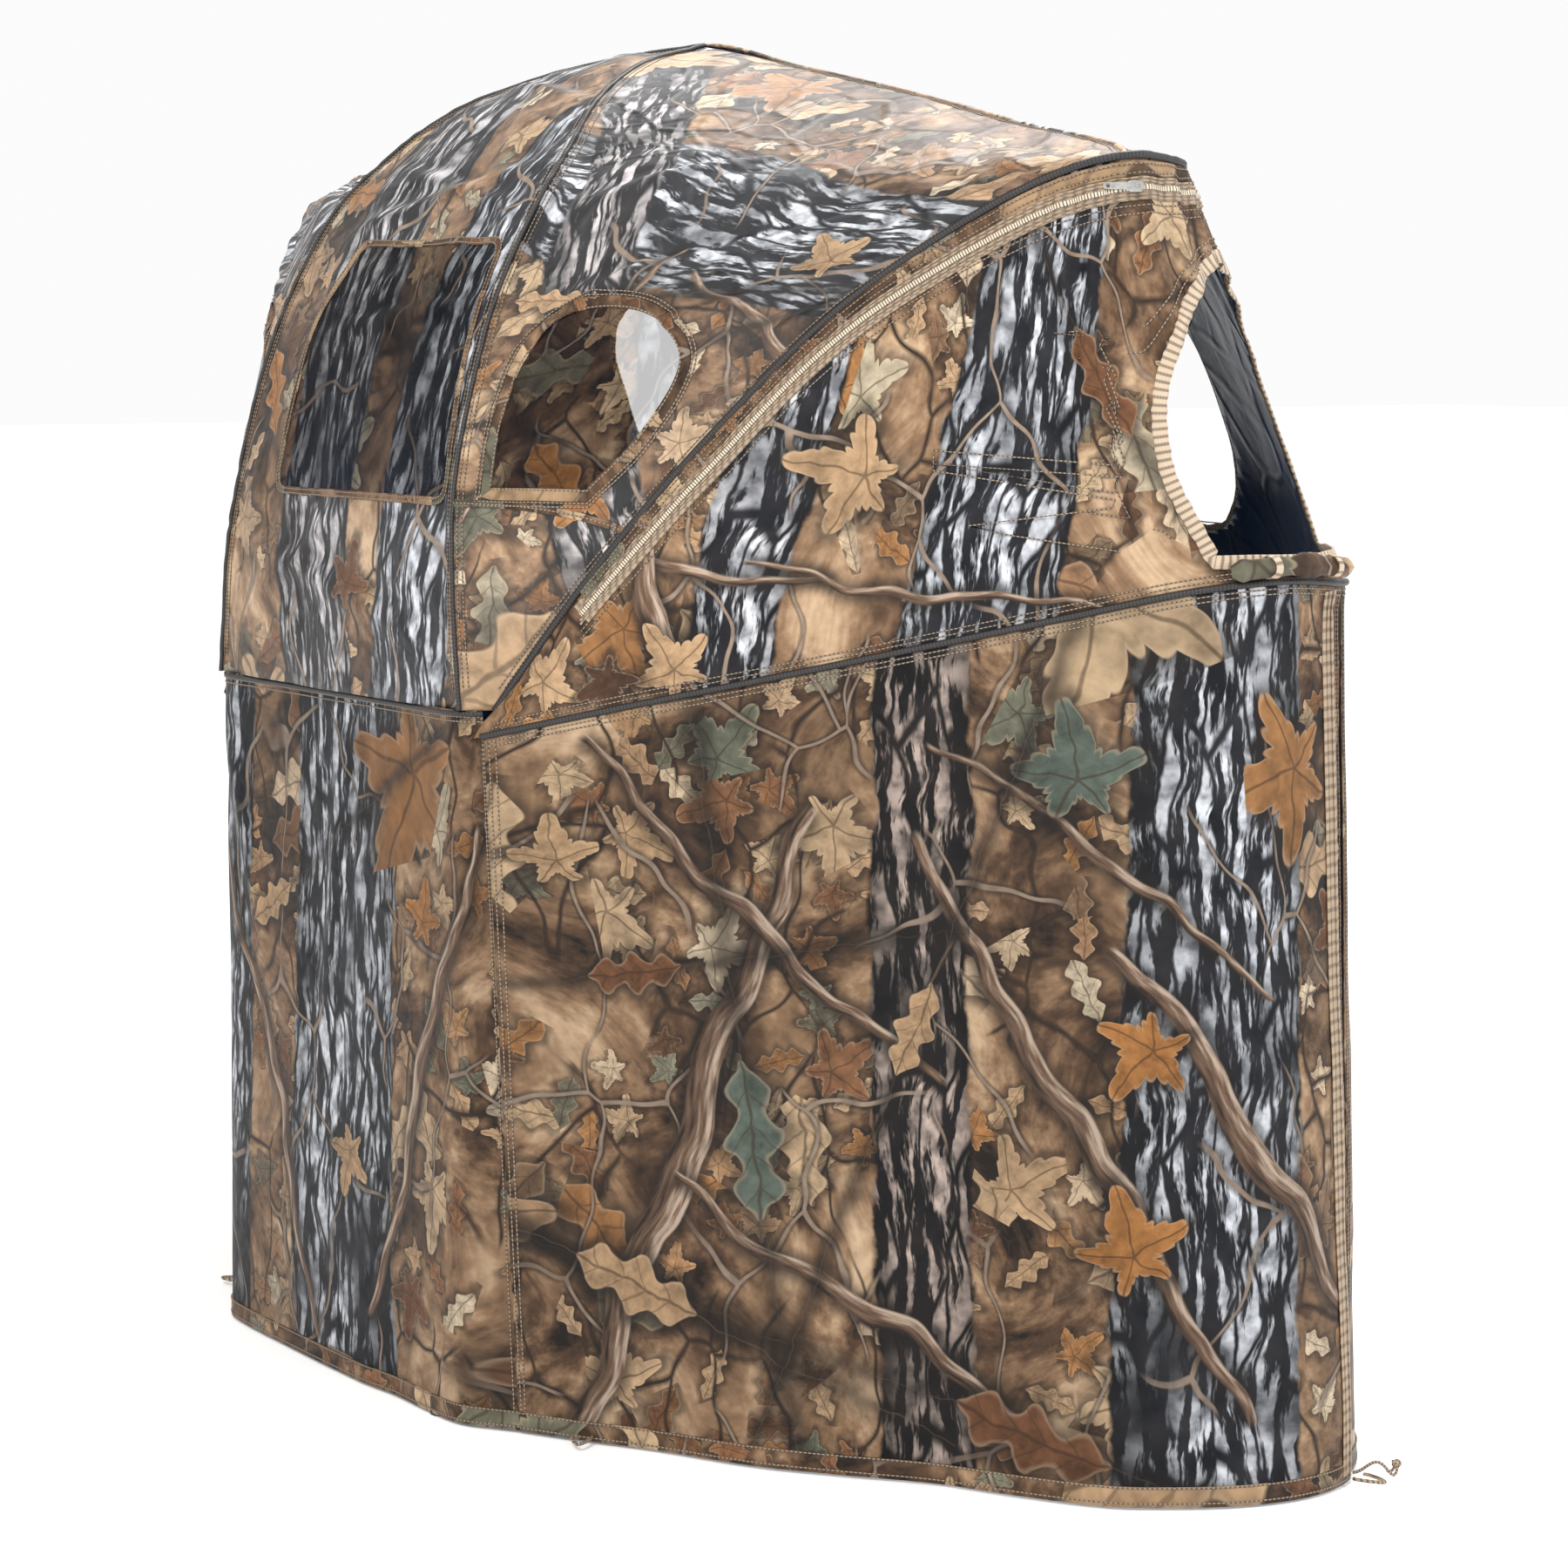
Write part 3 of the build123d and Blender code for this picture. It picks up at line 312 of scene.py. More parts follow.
class Patchwork:
    """Collects vertices, faces, texture places and bend weights for one object."""

    def __init__(self):
        self.verts, self.faces, self.uvs, self.weights, self.count = [], [], [], [], 0

    def grid(self, P, UV, W, keep=None, flip=False):
        nu, nv = P.shape[:2]
        index = self.count + np.arange(nu * nv).reshape(nu, nv)
        quads = np.stack([index[:-1, :-1], index[1:, :-1], index[1:, 1:], index[:-1, 1:]], -1)
        if flip:
            quads = quads[..., ::-1]
        quads = quads[keep] if keep is not None else quads.reshape(-1, 4)
        self.verts.append(P.reshape(-1, 3))
        self.uvs.append(UV.reshape(-1, 2))
        self.weights.append(np.broadcast_to(W, (nu, nv)).reshape(-1))
        self.faces += quads.tolist()
        self.count += nu * nv

    def profile(self, path, out, weights, shape, closed=False):
        """Sweeps a closed cross-section of (side, out) points along a path."""
        path = np.asarray(path, float)
        run = np.gradient(path, axis=0)
        if closed:
            run = np.roll(path, -1, axis=0) - np.roll(path, 1, axis=0)
        run /= np.linalg.norm(run, axis=1, keepdims=True) + 1e-12
        out = np.broadcast_to(out, path.shape)
        side = np.cross(run, out)
        side /= np.linalg.norm(side, axis=1, keepdims=True) + 1e-12
        up = np.cross(side, run)
        shape = np.asarray(shape, float)
        if shape.ndim == 2:
            shape = np.broadcast_to(shape, (len(path),) + shape.shape)
        ring = path[:, None, :] + side[:, None, :] * shape[..., :1] + up[:, None, :] * shape[..., 1:]
        step = np.linalg.norm(np.diff(path, axis=0), axis=1)
        along = np.concatenate([[0], np.cumsum(step)])
        w = np.broadcast_to(weights, (len(path),))
        if closed:
            ring = np.concatenate([ring, ring[:1]])
            along = np.append(along, along[-1] + np.linalg.norm(path[0] - path[-1]))
            w = np.append(w, w[0])
            shape = np.concatenate([shape, shape[:1]])
        ring = np.concatenate([ring, ring[:, :1]], axis=1)
        around = np.concatenate([[0], np.cumsum(np.linalg.norm(np.diff(
            np.concatenate([shape[0], shape[0][:1]]), axis=0), axis=1))])
        UV = np.stack(np.broadcast_arrays(along[:, None], around[None, :]), -1)
        self.grid(ring, UV, np.broadcast_to(w[:, None], ring.shape[:2]), flip=True)
        if not closed:
            for end in (0, -1):
                first = self.count
                self.verts.append(ring[end, :-1])
                self.uvs.append(UV[end, :-1])
                self.weights.append(np.full(ring.shape[1] - 1, w[end]))
                cap = list(range(first, first + ring.shape[1] - 1))
                self.faces.append(cap if end == 0 else cap[::-1])
                self.count += len(cap)

    def build(self, name, *materials, thick=0.0, smooth=True):
        tiles = materials[0] if isinstance(materials[0], Tiles) else None
        if tiles:
            materials = (*tiles.materials, *[m for m in materials[1:] for _ in tiles.materials])
        verts = np.concatenate(self.verts)
        uvs, weights = np.concatenate(self.uvs), np.concatenate(self.weights)
        used = np.zeros(len(verts), bool)
        for face in self.faces:
            used[face] = True
        new = np.cumsum(used) - 1
        faces = [[int(new[i]) for i in face] for face in self.faces]
        mesh = bpy.data.meshes.new(name)
        mesh.from_pydata(verts[used].tolist(), [], faces)
        layer = mesh.uv_layers.new(name="cloth")
        loops = np.zeros(len(mesh.loops), int)
        mesh.loops.foreach_get("vertex_index", loops)
        layer.data.foreach_set("uv", uvs[used][loops].ravel())
        attribute = mesh.attributes.new("bend", "FLOAT", "POINT")
        attribute.data.foreach_set("value", weights[used].astype(np.float32))
        if smooth:
            mesh.polygons.foreach_set("use_smooth", [True] * len(mesh.polygons))
        for material in materials:
            mesh.materials.append(material)
        if tiles:
            where = uvs[used]
            mesh.polygons.foreach_set("material_index", [tiles.pick(*where[face[0]]) for face in faces])
        mesh.update()
        piece = bpy.data.objects.new(name, mesh)
        bpy.context.scene.collection.objects.link(piece)
        if thick:
            shell = piece.modifiers.new("thickness", "SOLIDIFY")
            shell.thickness = thick
            shell.offset = -1
            if len(materials) > 1:
                shell.material_offset = len(tiles.materials) if tiles else 1
        return piece


ROUND = [(math.cos(a), math.sin(a)) for a in np.linspace(0, 2 * math.pi, 10, endpoint=False)]


def round_shape(radius, flat=1.0):
    return [(radius * x, radius * flat * y) for x, y in ROUND]


def strip_shape(width, thick, lift=0.0):
    """Cross-section of a flat tape with soft edges."""
    w = width / 2
    return [(-w, lift), (w, lift), (w, lift + thick * 0.6), (w * 0.94, lift + thick),
            (-w * 0.94, lift + thick), (-w, lift + thick * 0.6)]


def bend(piece):
    """Bakes a piece's placement into its mesh and reads its bend weights, which follow the fabric from seam
    to seam.
    """
    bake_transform(piece)
    weights = np.zeros(len(piece.data.vertices), np.float32)
    piece.data.attributes["bend"].data.foreach_get("value", weights)
    return piece


# ------------------------------------------------------------------ shader nodes in a few words
class Graph:
    def __init__(self, tree):
        self.tree = tree

    def put(self, socket, value):
        if isinstance(value, bpy.types.NodeSocket):
            self.tree.links.new(value, socket)
        elif value is not None:
            if socket.type == "RGBA" and len(value) == 3:
                value = (*value, 1.0)
            socket.default_value = value

    def add(self, kind, ins=None, **props):
        node = self.tree.nodes.new(kind)
        for key, value in props.items():
            setattr(node, key, value)
        for key, value in (ins or {}).items():
            self.put(node.inputs[key], value)
        return node

    def math(self, op, a, b=0.0, clamp=False):
        return self.add("ShaderNodeMath", {0: a, 1: b}, operation=op, use_clamp=clamp).outputs[0]

    def plus(self, a, b):
        return self.math("ADD", a, b)

    def minus(self, a, b):
        return self.math("SUBTRACT", a, b)

    def times(self, a, b, clamp=False):
        return self.math("MULTIPLY", a, b, clamp)

    def xyz(self, x, y, z=0.0):
        return self.add("ShaderNodeCombineXYZ", {0: x, 1: y, 2: z}).outputs[0]

    def parts(self, v):
        return self.add("ShaderNodeSeparateXYZ", {0: v}).outputs

    def shift(self, v, by):
        return self.add("ShaderNodeVectorMath", {0: v, 1: by}, operation="ADD").outputs[0]

    def scale(self, v, by):
        return self.add("ShaderNodeVectorMath", {0: v, 1: by}, operation="MULTIPLY").outputs[0]

    def turn(self, v, angle):
        node = self.add("ShaderNodeVectorRotate", {"Vector": v, "Angle": angle}, rotation_type="Z_AXIS")
        return node.outputs[0]

    def mix(self, share, a, b, mode="MIX"):
        node = self.add("ShaderNodeMix", data_type="RGBA", blend_type=mode)
        for i, value in ((0, share), (6, a), (7, b)):
            self.put(node.inputs[i], value)
        return node.outputs[2]

    def noise(self, v, scale, detail=3.0, rough=0.5, distort=0.0, out=0):
        ins = {"Vector": v, "Scale": scale, "Detail": detail, "Roughness": rough, "Distortion": distort}
        return self.add("ShaderNodeTexNoise", ins).outputs[out]

    def cells(self, v, scale, feature="F1"):
        return self.add("ShaderNodeTexVoronoi", {"Vector": v, "Scale": scale},
                        voronoi_dimensions="2D", feature=feature).outputs

    def step(self, x, lo, hi):
        """0 at lo, 1 at hi, smooth between; lo may be above hi."""
        node = self.add("ShaderNodeMapRange", {0: x, 1: lo, 2: hi}, interpolation_type="SMOOTHSTEP")
        return node.outputs[0]

    def ramp(self, x, *stops):
        node = self.add("ShaderNodeValToRGB", {0: x})
        bar = node.color_ramp.elements
        while len(bar) < len(stops):
            bar.new(0.5)
        for element, (place, colour) in zip(bar, stops):
            element.position = place
            element.color = (*colour, 1.0)
        return node.outputs[0]

    def use(self, tree, ins):
        node = self.tree.nodes.new("ShaderNodeGroup")
        node.node_tree = tree
        for key, value in ins.items():
            self.put(node.inputs[key], value)
        return node.outputs


def group(name, ins, outs):
    """An empty node group: its graph, its inputs and its output sockets."""
    tree = bpy.data.node_groups.new(name, "ShaderNodeTree")
    for title, kind in ins:
        tree.interface.new_socket(title, in_out="INPUT", socket_type="NodeSocket" + kind)
    for title, kind in outs:
        tree.interface.new_socket(title, in_out="OUTPUT", socket_type="NodeSocket" + kind)
    source = tree.nodes.new("NodeGroupInput")
    sink = tree.nodes.new("NodeGroupOutput")
    return tree, Graph(tree), source.outputs, sink.inputs


def bark_group():
    """Charcoal bark with pale broken ridges running along y."""
    tree, g, ins, outs = group("bark", [("Place", "Vector")], [("Color", "Color")])
    x, y, _ = g.parts(ins["Place"])
    wander = g.noise(ins["Place"], 7.0, 2.0)
    fine = g.noise(ins["Place"], 34.0, 2.0)
    x = g.plus(x, g.plus(g.times(g.minus(wander, 0.5), 0.05), g.times(g.minus(fine, 0.5), 0.008)))
    ridges = g.noise(g.xyz(g.times(x, 62.0), g.times(y, 11.0)), 1.0, 4.0, 0.62)
    plates = g.cells(g.xyz(g.times(x, 36.0), g.times(y, 8.0)), 1.0, "DISTANCE_TO_EDGE")[0]
    patch = g.noise(ins["Place"], 5.0, 2.0)
    lit = g.times(g.step(ridges, 0.47, 0.55), g.step(plates, 0.02, 0.11))
    lit = g.times(lit, g.step(patch, 0.30, 0.52))
    dark = g.ramp(g.noise(ins["Place"], 21.0, 3.0), (0.35, (0.003, 0.004, 0.007)),
                  (0.7, (0.022, 0.022, 0.026)))
    pale = g.ramp(g.noise(ins["Place"], 48.0, 3.0), (0.35, (0.17, 0.18, 0.20)), (0.62, (0.62, 0.64, 0.68)))
    g.put(outs["Color"], g.mix(lit, dark, pale))
    return tree


def trunk_group(bark):
    """One tree trunk laid across the print: colour and mask."""
    ins = [("Place", "Vector"), ("X", "Float"), ("Y", "Float"), ("Lean", "Float"), ("Half", "Float"),
           ("Warm", "Float")]
    tree, g, ins, outs = group("trunk", ins, [("Color", "Color"), ("Mask", "Float")])
    moved = g.shift(ins["Place"], g.xyz(g.times(ins["X"], -1.0), g.times(ins["Y"], -1.0)))
    turned = g.turn(moved, ins["Lean"])
    x, y, _ = g.parts(turned)
    sway = g.noise(g.xyz(0.0, g.plus(y, ins["X"])), 3.0, 2.0)
    x = g.plus(x, g.times(g.minus(sway, 0.5), 0.05))
    rim = g.noise(turned, 30.0, 3.0)
    off = g.plus(g.math("ABSOLUTE", x), g.times(g.minus(rim, 0.5), 0.02))
    mask = g.step(g.minus(off, ins["Half"]), 0.003, -0.003)
    share = g.math("DIVIDE", x, ins["Half"])
    round_off = g.minus(1.05, g.times(g.math("POWER", g.math("ABSOLUTE", share), 2.6), 0.62))
    colour = g.use(bark, {"Place": turned})["Color"]
    colour = g.mix(g.times(ins["Warm"], 1.0), colour, g.mix(1.0, colour, (0.62, 0.40, 0.26), "MULTIPLY"))
    colour = g.mix(1.0, colour, g.xyz(round_off, round_off, round_off), "MULTIPLY")
    g.put(outs["Color"], colour)
    g.put(outs["Mask"], mask)
    return tree


def leaf_group():
    """One leaf drawn in its own unit space, tip towards +y: colour, mask and the shade round it."""
    ins = [("Local", "Vector"), ("Kind", "Float"), ("Tint", "Color"), ("Seed", "Float")]
    tree, g, ins, outs = group("leaf", ins, [("Color", "Color"), ("Mask", "Float"), ("Shade", "Float")])
    crumple = g.noise(g.shift(ins["Local"], g.xyz(ins["Seed"], 0.0)), 1.6, 2.0, out=1)
    bent = g.shift(ins["Local"], g.scale(g.shift(crumple, (-0.5, -0.5, -0.5)), (0.30, 0.30, 0.0)))
    x, y, _ = g.parts(bent)
    r = g.math("SQRT", g.plus(g.times(x, x), g.times(y, y)))
    turn = g.math("ARCTAN2", x, y)
    spoke = g.math("ABSOLUTE", g.math("SINE", g.times(turn, 2.5)))
    teeth = g.times(g.math("ABSOLUTE", g.math("SINE", g.times(turn, 12.5))), 0.10)
    reach = g.times(g.plus(0.74, g.times(g.math("COSINE", turn), 0.26)),
                    g.plus(g.minus(0.98, g.times(spoke, 0.56)), teeth))
    maple = g.minus(r, reach)
    belly = g.math("POWER", g.math("MAXIMUM", g.minus(1.0, g.times(y, y)), 0.0), 0.65)
    lobes = g.plus(0.74, g.times(g.math("COSINE", g.times(y, 10.0)), 0.26))
    oak = g.minus(g.math("ABSOLUTE", x), g.times(belly, g.times(lobes, 0.44)))
    away = g.plus(g.times(maple, g.minus(1.0, ins["Kind"])), g.times(oak, ins["Kind"]))
    ribs = g.math("ABSOLUTE", g.minus(g.math("FRACT", g.times(g.minus(y, g.math("ABSOLUTE", x)), 2.6)), 0.5))
    maple_vein = g.step(g.times(spoke, r), 0.055, 0.012)
    oak_vein = g.math("MAXIMUM", g.step(g.math("ABSOLUTE", x), 0.035, 0.008),
                      g.times(g.step(ribs, 0.07, 0.02), 0.7))
    vein = g.plus(g.times(maple_vein, g.minus(1.0, ins["Kind"])), g.times(oak_vein, ins["Kind"]))
    mottle = g.noise(g.shift(bent, g.xyz(ins["Seed"], 3.0)), 3.2, 4.0, 0.6)
    tone = g.plus(-0.12, g.times(mottle, 1.70))
    tone = g.math("MAXIMUM", g.plus(tone, g.times(x, 0.24)), 0.06)
    colour = g.mix(1.0, ins["Tint"], g.xyz(tone, tone, tone), "MULTIPLY")
    colour = g.mix(g.times(g.step(away, -0.08, 0.0), 0.28), colour, (0.50, 0.37, 0.25))
    colour = g.mix(g.times(vein, 0.62), colour, (0.035, 0.018, 0.010))
    g.put(outs["Color"], colour)
    g.put(outs["Mask"], g.step(away, 0.015, -0.02))
    g.put(outs["Shade"], g.step(away, 0.34, 0.0))
    return tree


def stamp_group(leaf):
    """A leaf at a chosen spot of the print."""
    ins = [("Place", "Vector"), ("X", "Float"), ("Y", "Float"), ("Turn", "Float"), ("Size", "Float"),
           ("Kind", "Float"), ("Tint", "Color"), ("Under", "Color")]
    tree, g, ins, outs = group("leaf stamp", ins, [("Color", "Color")])
    moved = g.shift(ins["Place"], g.xyz(g.times(ins["X"], -1.0), g.times(ins["Y"], -1.0)))
    turned = g.turn(moved, ins["Turn"])
    size = g.math("DIVIDE", 1.0, ins["Size"])
    out = g.use(leaf, {"Local": g.scale(turned, g.xyz(size, size, 0.0)), "Kind": ins["Kind"],
                       "Tint": ins["Tint"], "Seed": g.plus(ins["X"], ins["Y"])})
    colour = g.mix(g.times(out["Shade"], 0.72), ins["Under"], (0.010, 0.008, 0.007))
    g.put(outs["Color"], g.mix(out["Mask"], colour, out["Color"]))
    return tree


TINTS = [(0.0, (0.42, 0.27, 0.15)), (0.2, (0.50, 0.36, 0.22)), (0.36, (0.26, 0.12, 0.055)),
         (0.5, (0.11, 0.055, 0.03)), (0.64, (0.36, 0.17, 0.06)), (0.78, (0.62, 0.50, 0.35)),
         (0.88, (0.13, 0.14, 0.10)), (1.0, (0.20, 0.11, 0.06))]


def scatter_group(leaf):
    """Leaves of random kind, turn and colour, one to a cell."""
    ins = [("Place", "Vector"), ("Scale", "Float"), ("Amount", "Float"), ("Seed", "Float"),
           ("Under", "Color")]
    tree, g, ins, outs = group("leaf scatter", ins, [("Color", "Color")])
    place = g.shift(ins["Place"], g.xyz(ins["Seed"], g.times(ins["Seed"], 0.7)))
    node = g.add("ShaderNodeTexVoronoi", {"Vector": place, "Scale": ins["Scale"]}, voronoi_dimensions="2D")
    chance, turn, pick = g.add("ShaderNodeSeparateColor", {0: node.outputs["Color"]}).outputs
    back = g.scale(node.outputs["Position"], (-1.0, -1.0, 0.0))
    local = g.shift(place, back)
    angle = g.times(turn, 6.283)
    turned = g.turn(local, angle)
    size = g.times(ins["Scale"], g.plus(1.25, g.times(pick, 0.7)))
    kind = g.step(g.math("FRACT", g.times(pick, 7.3)), 0.50, 0.51)
    tint = g.ramp(g.math("FRACT", g.plus(g.times(turn, 3.7), pick)), *TINTS)
    out = g.use(leaf, {"Local": g.scale(turned, g.xyz(size, size, 0.0)), "Kind": kind, "Tint": tint,
                       "Seed": g.times(chance, 9.0)})
    there = g.step(chance, ins["Amount"], g.minus(ins["Amount"], 0.01))
    colour = g.mix(g.times(g.times(out["Shade"], there), 0.66), ins["Under"], (0.014, 0.010, 0.008))
    g.put(outs["Color"], g.mix(g.times(out["Mask"], there), colour, out["Color"]))
    return tree


def twig_group():
    """Thin crossing twigs."""
    ins = [("Place", "Vector"), ("Scale", "Float"), ("Width", "Float"), ("Seed", "Float"),
           ("Tint", "Color"), ("Under", "Color")]
    tree, g, ins, outs = group("twigs", ins, [("Color", "Color")])
    place = g.shift(ins["Place"], g.xyz(ins["Seed"], ins["Seed"]))
    warp = g.shift(g.noise(place, 6.0, 2.0, out=1), (-0.5, -0.5, -0.5))
    bent = g.shift(place, g.scale(warp, (0.14, 0.14, 0.0)))
    gap = g.cells(g.scale(bent, (1.0, 0.62, 1.0)), ins["Scale"], "DISTANCE_TO_EDGE")[0]
    broken = g.step(g.noise(place, 5.5, 1.0), 0.44, 0.50)
    lit = g.noise(place, 60.0, 2.0)
    tint = g.mix(lit, ins["Tint"], g.mix(1.0, ins["Tint"], (0.25, 0.22, 0.2), "MULTIPLY"))
    line = g.times(g.step(gap, ins["Width"], g.times(ins["Width"], 0.45)), broken)
    edge = g.times(g.step(gap, g.times(ins["Width"], 2.6), ins["Width"]), broken)
    colour = g.mix(g.times(edge, 0.6), ins["Under"], (0.012, 0.009, 0.007))
    g.put(outs["Color"], g.mix(line, colour, tint))
    return tree


def limb_group():
    """One slanting branch with a bark streak, thinner than a trunk."""
    ins = [("Place", "Vector"), ("X", "Float"), ("Y", "Float"), ("Lean", "Float"), ("Half", "Float"),
           ("Long", "Float"), ("Under", "Color")]
    tree, g, ins, outs = group("limb", ins, [("Color", "Color")])
    moved = g.shift(ins["Place"], g.xyz(g.times(ins["X"], -1.0), g.times(ins["Y"], -1.0)))
    turned = g.turn(moved, ins["Lean"])
    x, y, _ = g.parts(turned)
    sway = g.noise(g.xyz(ins["X"], g.plus(y, ins["Y"])), 5.0, 2.0)
    x = g.plus(x, g.times(g.minus(sway, 0.5), 0.10))
    taper = g.minus(1.0, g.times(g.math("ABSOLUTE", g.math("DIVIDE", y, ins["Long"])), 0.6))
    half = g.times(ins["Half"], taper)
    inside = g.step(g.math("ABSOLUTE", y), ins["Long"], g.times(ins["Long"], 0.96))
    off = g.minus(g.math("ABSOLUTE", x), half)
    mask = g.times(g.step(off, 0.0015, -0.0015), inside)
    shade = g.times(g.step(off, 0.016, 0.0), inside)
    grain = g.noise(g.xyz(g.times(x, 170.0), g.times(y, 22.0)), 1.0, 3.0)
    side = g.step(x, g.times(half, -1.2), g.times(half, 1.1))
    colour = g.ramp(g.times(grain, g.plus(0.55, g.times(side, 0.6))), (0.24, (0.022, 0.014, 0.010)),
                    (0.44, (0.14, 0.085, 0.055)), (0.64, (0.40, 0.31, 0.24)))
    under = g.mix(g.times(shade, 0.7), ins["Under"], (0.010, 0.008, 0.007))
    g.put(outs["Color"], g.mix(mask, under, colour))
    return tree


def relief_group():
    """Height of the weave and of fine creases, in metres."""
    tree, g, ins, outs = group("cloth relief", [("Place", "Vector"), ("Creases", "Float")],
                               [("Height", "Float")])
    x, y, _ = g.parts(ins["Place"])
    weave = g.times(g.math("SINE", g.times(x, 4600.0)), g.math("SINE", g.times(y, 4600.0)))
    warp = g.shift(g.noise(ins["Place"], 5.0, 2.0, out=1), (-0.5, -0.5, -0.5))
    bent = g.shift(ins["Place"], g.scale(warp, (0.12, 0.12, 0.0)))
    facets = g.cells(bent, 13.0, "DISTANCE_TO_EDGE")[0]
    small = g.noise(ins["Place"], 26.0, 3.0, 0.6)
    large = g.noise(ins["Place"], 9.0, 2.0, 0.5, 1.0)
    crease = g.plus(g.times(g.step(facets, 0.14, 0.0), 0.0007),
                    g.plus(g.times(small, 0.0010), g.times(large, 0.0026)))
    g.put(outs["Height"], g.plus(g.times(weave, 0.00004), g.times(crease, ins["Creases"])))
    return tree


BARK = bark_group()
TRUNK = trunk_group(BARK)
LEAF = leaf_group()
STAMP = stamp_group(LEAF)
SCATTER = scatter_group(LEAF)
TWIGS = twig_group()
LIMB = limb_group()
RELIEF = relief_group()

TAN, GREY_GREEN, ORANGE = (0.42, 0.27, 0.15), (0.10, 0.125, 0.10), (0.36, 0.155, 0.045)
BROWN, DEEP_BROWN, GREEN = (0.15, 0.065, 0.03), (0.07, 0.034, 0.02), (0.08, 0.14, 0.055)
MAPLE, OAK = 0.0, 1.0


def surface(material):
    """Graph, principled node and output of a new material."""
    material.use_nodes = True
    g = Graph(material.node_tree)
    return g, material.node_tree.nodes["Principled BSDF"], material.node_tree.nodes["Material Output"]


def camo(name, trunks=(), limbs=(), leaves=(), creases=1.0, offset=(0, 0), sheer=0.0, dim=1.0, painted_light_level=1.0,
         gloss=0.16):
    """Woodland print: trunks are (x, y, lean, half width, warmth); limbs (x, y, lean, half, long);
    leaves (x, y, turn, size, kind, tint). Lean and turn are degrees, the rest metres."""
    material = bpy.data.materials.new(name)
    g, shader, output = surface(material)
    place = g.add("ShaderNodeUVMap", uv_map="cloth").outputs[0]
    far = g.shift(place, (offset[0] + 3.0, offset[1] + 5.0, 0.0))
    blur = g.plus(g.times(g.noise(far, 6.5, 5.0, 0.66, 0.8), 0.86),
                  g.times(g.noise(far, 58.0, 3.0, 0.6), 0.14))
    colour = g.ramp(blur, (0.36, (0.012, 0.008, 0.006)), (0.45, (0.085, 0.047, 0.026)),
                    (0.54, (0.235, 0.142, 0.080)),
                    (0.66, (0.52, 0.37, 0.235)))
    colour = g.use(SCATTER, {"Place": far, "Scale": 19.0, "Amount": 0.55, "Seed": 1.3, "Under": colour})[0]
    colour = g.use(TWIGS, {"Place": far, "Scale": 13.0, "Width": 0.020, "Seed": 2.0,
                           "Tint": (0.05, 0.03, 0.02), "Under": colour})[0]
    colour = g.use(SCATTER, {"Place": far, "Scale": 9.5, "Amount": 0.42, "Seed": 4.1, "Under": colour})[0]
    for x, y, lean, half, warm in trunks:
        out = g.use(TRUNK, {"Place": place, "X": x, "Y": y, "Lean": math.radians(-lean), "Half": half,
                            "Warm": warm})
        colour = g.mix(out["Mask"], colour, out["Color"])
    colour = g.use(TWIGS, {"Place": far, "Scale": 7.5, "Width": 0.017, "Seed": 7.0,
                           "Tint": (0.34, 0.26, 0.20), "Under": colour})[0]
    for x, y, lean, half, long in limbs:
        colour = g.use(LIMB, {"Place": place, "X": x, "Y": y, "Lean": math.radians(-lean), "Half": half,
                              "Long": long, "Under": colour})[0]
    colour = g.use(SCATTER, {"Place": far, "Scale": 4.6, "Amount": 0.16, "Seed": 9.4, "Under": colour})[0]
    for x, y, turn, size, kind, tint in leaves:
        colour = g.use(STAMP, {"Place": place, "X": x, "Y": y, "Turn": math.radians(-turn), "Size": size,
                               "Kind": kind,
                               "Tint": (*tint, 1.0), "Under": colour})[0]
    faded = g.noise(far, 2.2, 2.0)
    # painted light and shade: the per-panel factor multiplied in here brightens the whole print on the
    # top-lit roof and darkens it on the lower skirts and rear wall; faded is random tone
    lift = g.times(g.plus(0.80, g.times(faded, 0.40)), dim * painted_light_level)
    colour = g.mix(1.0, colour, g.xyz(lift, lift, lift), "MULTIPLY")
    relief = g.use(RELIEF, {"Place": place, "Creases": creases})[0]
    bump = g.add("ShaderNodeBump", {"Height": relief, "Strength": 1.0, "Distance": 1.0}).outputs[0]
    rough = g.plus(0.42, g.times(g.noise(far, 30.0, 2.0), 0.20))
    for key, value in (("Base Color", colour), ("Roughness", rough), ("Normal", bump),
                       ("Specular IOR Level", gloss)):
        g.put(shader.inputs[key], value)
    if sheer:
        clear = g.add("ShaderNodeBsdfTransparent", {0: (1, 1, 1)})
        blend = g.add("ShaderNodeMixShader", {0: sheer})
        g.put(blend.inputs[1], shader.outputs[0])
        g.put(blend.inputs[2], clear.outputs[0])
        g.put(output.inputs[0], blend.outputs[0])
    return material


def cloth(name, low, high, rough=0.6, sheen=0.15, creases=1.0, scale=40.0, weave=2600.0):
    """Plain woven cloth between two colours."""
    material = bpy.data.materials.new(name)
    g, shader, _ = surface(material)
    place = g.add("ShaderNodeUVMap", uv_map="cloth").outputs[0]
    x, y, _ = g.parts(place)
    threads = g.times(g.math("SINE", g.times(x, weave)), g.math("SINE", g.times(y, weave)))
    tone = g.plus(g.noise(place, scale, 3.0), g.times(threads, 0.12))
    relief = g.use(RELIEF, {"Place": place, "Creases": creases})[0]
    bump = g.add("ShaderNodeBump", {"Height": relief, "Strength": 1.0, "Distance": 1.0}).outputs[0]
    for key, value in (("Base Color", g.ramp(tone, (0.3, low), (0.7, high))), ("Roughness", rough),
                       ("Normal", bump), ("Sheen Weight", sheen)):
        g.put(shader.inputs[key], value)
    return material


